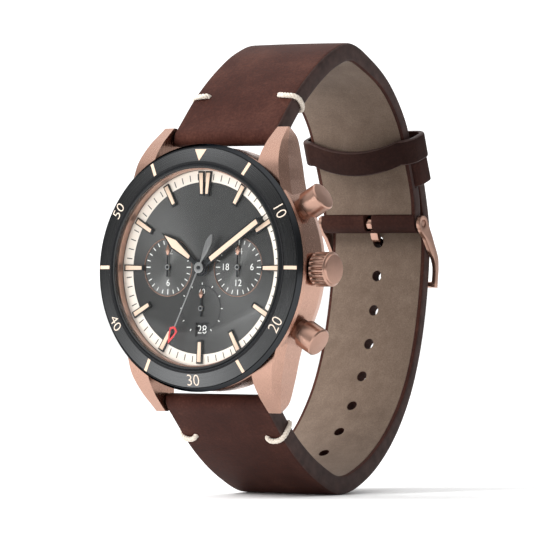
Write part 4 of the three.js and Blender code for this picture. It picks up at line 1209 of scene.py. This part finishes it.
def make_fold():
    """The end of the leather, turned round the buckle's bar and laid on the wrist side."""
    point, along = short_route.at(short_route.total)
    off = short_route.off(along)
    line = []
    for k in range(13):
        angle = math.radians(75 - 165 * k / 12)
        line.append(point + (along * math.cos(angle) + off * math.sin(angle)) * 1.42)
    line += [point - off * 1.4 - along * back for back in (0.4, 0.9, 1.3, 1.6)]
    rings = []
    for i, place in enumerate(line):
        run = (line[min(i + 1, len(line) - 1)] - line[max(i - 1, 0)]).normalized()
        out = Vector((-run.y, run.x)) * -1
        thin = 0.3 if 0 < i < len(line) - 1 else 0.22
        outline = rounded([(9.98, -thin, 0), (9.98, thin, 0.2), (-9.98, thin, 0.2), (-9.98, -thin, 0)], 3)
        rings.append([(x, place.x + out.x * n, place.y + out.y * n) for x, n in outline])
    mesh = boolean(strap_blank(loft(rings)), tongue_slots(), "DIFFERENCE")
    # its leather colour is darkened as painted shade
    finish_mesh("strap_short_fold", mesh, leather_painted_shade, "case", (), 40)


def make_long_strap():
    tip_start = long_route.total - TIP_LENGTH
    tip = [tip_start + TIP_LENGTH * math.sin(math.pi / 2 * k / 10) for k in range(1, 11)]
    stations = [*ROUND_START, *spaced(0, tip_start, 110), *tip]
    mesh = strap_mesh("strap_long_leather", long_route, long_size, stations)
    cutters = [strap_blank(strap_bar(SPRING_BAR_HOLE, -BAR_HEIGHT, -BAR_REACH))]
    cutters += punches(1.1, lambda s: place_on(long_route, s))
    mesh = boolean(mesh, cutters, "DIFFERENCE")
    finish_mesh("strap_long_leather", mesh, leather, "case", ["strap_long"], 40)
    cutters = punches(1.14, lambda s: place_on(long_route, s))
    lining_mesh("strap_long_lining", long_route, long_size, spaced(2.2, long_route.total - 7, 100), cutters)


def lining_mesh(name, route, size, stations, cutters):
    """The suede sheet on the wrist side, set in a little from the painted edges."""
    rings = []
    for length in stations:
        half_width, half_thick = size(length)
        reach = half_width - 0.8
        low, high = -half_thick - 0.09, -half_thick + 0.2
        outline = rounded([(reach, high, 0), (reach, low, 0.07), (-reach, low, 0.07), (-reach, high, 0)], 2)
        rings.append(section(route, length, outline))
    mesh = mesh_from(name, [loft(rings)], TO_METRES)
    if cutters:
        mesh = boolean(mesh, cutters, "DIFFERENCE")
    finish_mesh(name, mesh, suede, "case")


# ---------------------------------------------------------------- stitches

# How far along each strap half its side stitches are
UPPER_STITCH = 8.4
LOWER_STITCH = 6.6
STRANDS = 3
STRAND_RADIUS = 0.27
TWIST_RADIUS = 0.21
TWIST_PITCH = 1.7
STITCH_INSET = 3.3
STITCH_LIFT = 0.30


def frames_along(path):
    """Each point of a path, with two directions across it that turn as little as they can."""
    normal = None
    for i, point in enumerate(path):
        along = (path[min(i + 1, len(path) - 1)] - path[max(i - 1, 0)]).normalized()
        if normal is None:
            normal = along.orthogonal().normalized()
        normal = (normal - along * normal.dot(along)).normalized()
        yield point, normal, along.cross(normal)


def strand_tube(points, radius=STRAND_RADIUS, sides=8):
    """A thin tube along a list of points, with tapered closed ends."""
    rings = []
    for i, (point, normal, across) in enumerate(frames_along(points)):
        size = radius * (0.35 if i in (0, len(points) - 1) else 1.0)
        angles = [FULL_TURN * k / sides for k in range(sides)]
        rings.append([tuple(point + (normal * math.cos(a) + across * math.sin(a)) * size) for a in angles])
    return loft(rings)


def stitch_path(route, size, length, side):
    """Once round the edge: out of a hole on top, over the edge, and into a hole behind."""
    half_width, half_thick = size(length)
    top, back = half_thick + STITCH_LIFT, -half_thick - STITCH_LIFT
    hole, beyond = half_width - STITCH_INSET, half_width + STITCH_LIFT
    outline = [(hole, half_thick - 0.5), (hole + 0.25, half_thick + 0.1), (hole + 0.8, top + 0.1),
               (half_width - 1.2, top + 0.05), (half_width - 0.2, half_thick - 0.05),
               (beyond, half_thick - 0.9), (beyond + 0.05, 0), (beyond, 0.9 - half_thick),
               (half_width - 0.3, back), (half_width - 1.4, back), (hole + 0.6, back),
               (hole, 0.5 - half_thick)]
    matrix = place_on(route, length)
    bow = [0.0, 0.05, 0.35, 0.45, 0.2, -0.1, -0.2, -0.2, -0.1, 0, 0, 0]
    knots = [matrix @ Vector((side * x, n, z)) for (x, n), z in zip(outline, bow)]
    dense = []
    for i in range(len(knots) - 1):
        four = [knots[max(i - 1, 0)], knots[i], knots[i + 1], knots[min(i + 2, len(knots) - 1)]]
        if i == 0:
            four[0] = 2 * knots[0] - knots[1]
        if i == len(knots) - 2:
            four[3] = 2 * knots[-1] - knots[-2]
        dense += [Route.between(four, k / 10) for k in range(10)]
    dense.append(knots[-1])
    return dense


def make_stitches():
    spots = [("upper", short_route, short_size, UPPER_STITCH), ("lower", long_route, long_size, LOWER_STITCH)]
    for word, route, size, length in spots:
        for side, hand in ((-1, "left"), (1, "right")):
            path = stitch_path(route, size, length, side)
            parts = [strand_tube(twisted(path, strand)) for strand in range(STRANDS)]
            name = f"stitch_{word}_{hand}"
            finish_mesh(name, mesh_from(name, parts, TO_METRES), thread, "case", (), 60)


def twisted(path, strand):
    """One strand's line, laid in a helix round the path."""
    line = []
    travelled = 0.0
    before = path[0]
    for point, normal, across in frames_along(path):
        travelled += (point - before).length
        before = point
        angle = FULL_TURN * (travelled / TWIST_PITCH + strand / STRANDS)
        line.append(point + (normal * math.cos(angle) + across * math.sin(angle)) * TWIST_RADIUS)
    return line


# ---------------------------------------------------------------- keepers

def band_loop(half_width, low, high, radius, bow):
    """A loop's line: a rounded rectangle, the lower side bowed out. Each point is (x, n, bow share)."""
    points = []
    steps = 8
    for k in range(25):
        x = (half_width - radius) * (2 * k / 24 - 1)
        share = 1 - (x / (half_width - radius)) ** 2
        points.append((x, low - bow * share, share))
    corners = [(half_width - radius, low + radius, -90), (half_width - radius, high - radius, 0),
               (radius - half_width, high - radius, 90), (radius - half_width, low + radius, 180)]
    for x, n, start in corners:
        for k in range(steps + 1):
            angle = math.radians(start + 90 * k / steps)
            points.append((x + radius * math.cos(angle), n + radius * math.sin(angle), 0.0))
    return [p for i, p in enumerate(points) if i not in (25, len(points) - 1)]


def keeper_band(name, matrix, loop, thickness, height, hide, body, node, sag=0.0):
    """A leather loop bent round the strap. Its bowed side also sags along the strap."""
    half_width, low, high, radius, bow = loop
    across = rounded([(0, -height / 2, 0.12), (thickness, -height / 2, 0.42), (thickness, height / 2, 0.42),
                      (0, height / 2, 0.12)], 4)
    columns = []
    for offset, z in across:
        line = band_loop(half_width + offset, low - offset, high + offset, radius + offset, bow)
        columns.append([matrix @ Vector((x, n, z - sag * share)) for x, n, share in line])
    rings = [[tuple(column[i]) for column in columns] for i in range(len(columns[0]))]
    mesh = mesh_from(name, [loft(rings, closed=True)], TO_METRES)
    mesh.materials.append(hide)
    mesh.materials.append(leather_edge)
    axis = (matrix.to_3x3() @ Vector((0, 0, 1))).normalized()
    for face in mesh.polygons:
        if abs(face.normal.dot(axis)) > 0.5:
            face.material_index = 1
    finish_mesh(name, mesh, hide, body, [node], 50)


def make_keepers():
    high = LAYER_PITCH + 1.05 + 0.25
    loose = place_on(short_route, short_route.total - FREE_KEEPER)
    # the loose keeper takes the darkest leather copy: its colour is painted shadow
    keeper_band("keeper_loose", loose, (11.1, -1.8, high, 1.7, 1.0), 0.95, 4.5, leather_painted_shadow,
                "loose_keeper", "keeper_free", sag=1.7)
    sewn = place_on(short_route, short_route.total - FIXED_KEEPER)
    # the sewn keeper takes the leather copy darkened as painted shade
    keeper_band("keeper_sewn", sewn, (10.4, 0.32, high, 0.5, 0.0), 0.75, 4.6, leather_painted_shade,
                "case", "keeper_fixed")


# ---------------------------------------------------------------- buckle

def side_plate(outline, low, high):
    """A plate drawn as (y, z), thick along x."""
    vertices, faces = prism(outline, low, high)
    return [(z, x, y) for x, y, z in vertices], faces


def strip_outline(points, steps=6):
    """The outline of a bent strip, from middle points with half widths, with rounded ends."""
    route = Route([(p[0], p[1]) for p in points], 1)
    knots = [0.0]
    for a, b in zip(points, points[1:]):
        knots.append(knots[-1] + (Vector(b[:2]) - Vector(a[:2])).length)
    scale = route.total / knots[-1]
    left, right = [], []
    count = steps * (len(points) - 1)
    for k in range(count + 1):
        length = route.total * k / count
        place = length / scale
        i = max(j for j in range(len(points) - 1) if knots[j] <= place + 1e-9)
        t = min((place - knots[i]) / (knots[i + 1] - knots[i]), 1)
        half = eased(points[i][2], points[i + 1][2], t)
        point, along = route.at(length)
        off = Vector((-along.y, along.x)) * half
        left.append(tuple(point + off))
        right.insert(0, tuple(point - off))
    return left + right


OUTER_BAR = (48.9, 0.0)
OUTER_BAR_RADIUS = 0.55
ARM_INNER, ARM_OUTER = 10.3, 11.05


def arm_disc(radius, half_length, x):
    """A short cylinder round the buckle's bar, centred at x."""
    part = moved(strap_bar(radius, *PIVOT, half_length), Matrix.Translation((x, 0, 0)))
    return strap_blank(part)


def make_buckle():
    arm = strip_outline([
        (PIVOT[0] - 0.85, PIVOT[1] + 1.2, 0.35), (PIVOT[0] - 0.4, PIVOT[1] + 0.6, 1.15),
        (PIVOT[0] + 0.4, PIVOT[1] - 0.55, 1.35),
        (46.0, 8.6, 1.05), (47.5, 6.4, 0.9), (48.65, 4.8, 0.7), (49.1, 3.2, 0.5), (49.1, 1.6, 0.45),
        (OUTER_BAR[0], OUTER_BAR[1] - 0.5, 0.5),
    ])
    right = strap_blank(side_plate(arm, ARM_INNER, ARM_OUTER))
    left = strap_blank(side_plate(arm, -ARM_OUTER, -ARM_INNER))
    bar = strap_blank(strap_bar(OUTER_BAR_RADIUS, *OUTER_BAR, ARM_OUTER - 0.1))
    eye = strap_blank(strap_bar(BUCKLE_BAR_HOLE, *PIVOT))
    ends = [arm_disc(1.4, 0.375, side * 10.675) for side in (1, -1)]
    recesses = [arm_disc(0.75, 0.3, side * 11.1) for side in (1, -1)]
    mesh = boolean(boolean(right, [left, bar, *ends], "UNION"), [eye, *recesses], "DIFFERENCE")
    mesh = soften(mesh, 0.1, 30, 3)
    finish_mesh("buckle_loop", mesh, rose_satin, "buckle", ["buckle_frame"], 40)


def make_tongue():
    line = [(45.0, 10.6, 0.33), (45.05, 9.1, 0.33), (45.5, 8.15, 0.34), (46.6, 7.75, 0.4), (48.2, 7.6, 0.4),
            (48.85, 6.9, 0.4), (48.9, 4.0, 0.4), (48.9, 1.35, 0.36)]
    tongue = strap_blank(side_plate(strip_outline(line), -0.75, 0.75))
    loop = strap_blank(strap_bar(1.3, *PIVOT, 0.75))
    bore = strap_blank(strap_bar(BUCKLE_BAR_HOLE, *PIVOT, 4))
    mesh = soften(boolean(boolean(tongue, [loop], "UNION"), [bore], "DIFFERENCE"), 0.12, 30, 3)
    finish_mesh("tongue_pin", mesh, rose_polished, "tongue", ["buckle_tongue"], 40)


# ---------------------------------------------------------------- pieces kept from the frame

def dress_frame_pieces():
    """Pieces whose CAD shape is right get a material; most are sealed inside the case."""
    looks = {
        steel_plain: ["winding_stem", "setting_sleeve", "crown_tube", "pusher_spring_upper",
                      "pusher_spring_lower", "spring_bar_upper", "spring_bar_lower", "battery"],
        hand_dark: ["stopwatch_arbor", "counter_arbor", "day_arbor", "seconds_arbor"],
        rose_satin: ["buckle_bar"],
        rubber_black: ["case_back_gasket", "crown_gasket"],
        brass_plain: ["main_plate", "minute_wheel", "hour_wheel"],
        plastic_white: ["movement_ring"],
        board_green: ["circuit_board"],
        copper_wire: ["motor_coil"],
    }
    for material, nodes in looks.items():
        for node in nodes:
            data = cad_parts[node].data
            data.materials.clear()
            data.materials.append(material)


# ---------------------------------------------------------------- stage

CAMERA_TARGET = Vector((10.35, -3.56, 0.19)) * MM
CAMERA_DISTANCE = 914.56 * MM
CAMERA_AZIMUTH = 34.62
CAMERA_ELEVATION = -2.43
CAMERA_ROLL = 1.757
CAMERA_LENS = 354.93
FLOOR_TILT = 3.1
FLOOR_TOUCH = Vector((0, 19.0, -38.62)) * MM


def make_camera():
    azimuth, elevation, roll = (math.radians(a) for a in (CAMERA_AZIMUTH, CAMERA_ELEVATION, CAMERA_ROLL))
    level = math.cos(elevation)
    back = Vector((math.sin(azimuth) * level, -math.cos(azimuth) * level, math.sin(elevation)))
    right = Vector((math.cos(azimuth), math.sin(azimuth), 0))
    up = back.cross(right)
    turned_right = right * math.cos(roll) + up * math.sin(roll)
    turned_up = up * math.cos(roll) - right * math.sin(roll)
    camera = bpy.data.objects.new("camera", bpy.data.cameras.new("camera"))
    bpy.context.scene.collection.objects.link(camera)
    matrix = Matrix((turned_right, turned_up, back)).transposed().to_4x4()
    matrix.translation = CAMERA_TARGET + back * CAMERA_DISTANCE
    camera.matrix_world = matrix
    camera.data.lens = CAMERA_LENS
    camera.data.sensor_width = 36
    camera.data.clip_start = 0.01
    camera.data.clip_end = 20
    bpy.context.scene.camera = camera


def make_floor():
    size = 6.0
    mesh = bpy.data.meshes.new("floor")
    corners = [(x, y, 0) for x, y in rectangle(size, -size, size)]
    mesh.from_pydata(corners, [], [(0, 1, 2, 3)])
    shader = Shader("floor_paper")
    grain = shader.noise(shader.place(), 60, 3.0)
    tone = shader.ramp(grain, [(0.3, (0.95, 0.95, 0.95)), (0.7, (0.97, 0.97, 0.97))])
    shader.set(Base_Color=tone, Roughness=0.85)
    mesh.materials.append(shader.material)
    floor = bpy.data.objects.new("floor", mesh)
    bpy.context.scene.collection.objects.link(floor)
    floor.matrix_world = Matrix.Translation(FLOOR_TOUCH) @ Matrix.Rotation(math.radians(FLOOR_TILT), 4, "X")


def area_light(name, place, size, power):
    """A rectangular light that faces the watch and does not show in reflections."""
    light = bpy.data.lights.new(name, "AREA")
    light.shape = "RECTANGLE"
    light.size, light.size_y = size
    light.energy = power
    holder = bpy.data.objects.new(name, light)
    bpy.context.scene.collection.objects.link(holder)
    holder.location = place
    holder.rotation_euler = (-Vector(place)).to_track_quat("-Z", "Y").to_euler()
    holder.visible_glossy = False


STUDIO_BASE = 0.28
STUDIO_LOBES = [
    ((-0.1, -0.15, 0.98), 0.3, 0.95, 1.25),
    ((-0.568, 0.822, 0.042), 0.5, 0.92, 1.1),
    ((-0.8, -0.6, 0.04), 0.7, 1.0, 0.34),
]


def make_lights():
    """A soft studio: bright overhead, white behind the watch, dim at the sides, dark in front."""
    world = bpy.data.worlds.new("studio")
    bpy.context.scene.world = world
    world.use_nodes = True
    nodes, links = world.node_tree.nodes, world.node_tree.links
    place = nodes.new("ShaderNodeTexCoord")
    total = None
    for direction, start, end, strength in STUDIO_LOBES:
        dot = nodes.new("ShaderNodeVectorMath")
        dot.operation = "DOT_PRODUCT"
        dot.inputs[1].default_value = Vector(direction).normalized()
        links.new(place.outputs["Generated"], dot.inputs[0])
        lobe = nodes.new("ShaderNodeMapRange")
        lobe.interpolation_type = "SMOOTHSTEP"
        lobe.inputs["From Min"].default_value = start
        lobe.inputs["From Max"].default_value = end
        lobe.inputs["To Max"].default_value = strength
        links.new(dot.outputs["Value"], lobe.inputs["Value"])
        added = nodes.new("ShaderNodeMath")
        added.inputs[0].default_value = STUDIO_BASE
        if total:
            links.new(total, added.inputs[0])
        links.new(lobe.outputs["Result"], added.inputs[1])
        total = added.outputs[0]
    links.new(total, nodes["Background"].inputs["Strength"])
    nodes["Background"].inputs["Color"].default_value = (1, 1, 1, 1)
    area_light("key", (-0.75, -0.75, 0.75), (0.7, 0.7), 16.5)
    area_light("fill", (-0.25, -0.95, -0.02), (0.5, 0.1), 6.0)


make_camera()
make_floor()
make_lights()
make_case()
make_back()
make_bezel()
make_scale_marks()
make_crystal()
make_dial()
make_minute_ring()
make_subdials()
make_indices()
make_date_disc()
make_central_hands()
make_stopwatch_hand()
make_small_hands()
make_crown()
make_buttons()
make_short_strap()
make_long_strap()
make_stitches()
make_keepers()
make_buckle()
make_tongue()
dress_frame_pieces()
bpy.context.scene.view_settings.view_transform = "Standard"
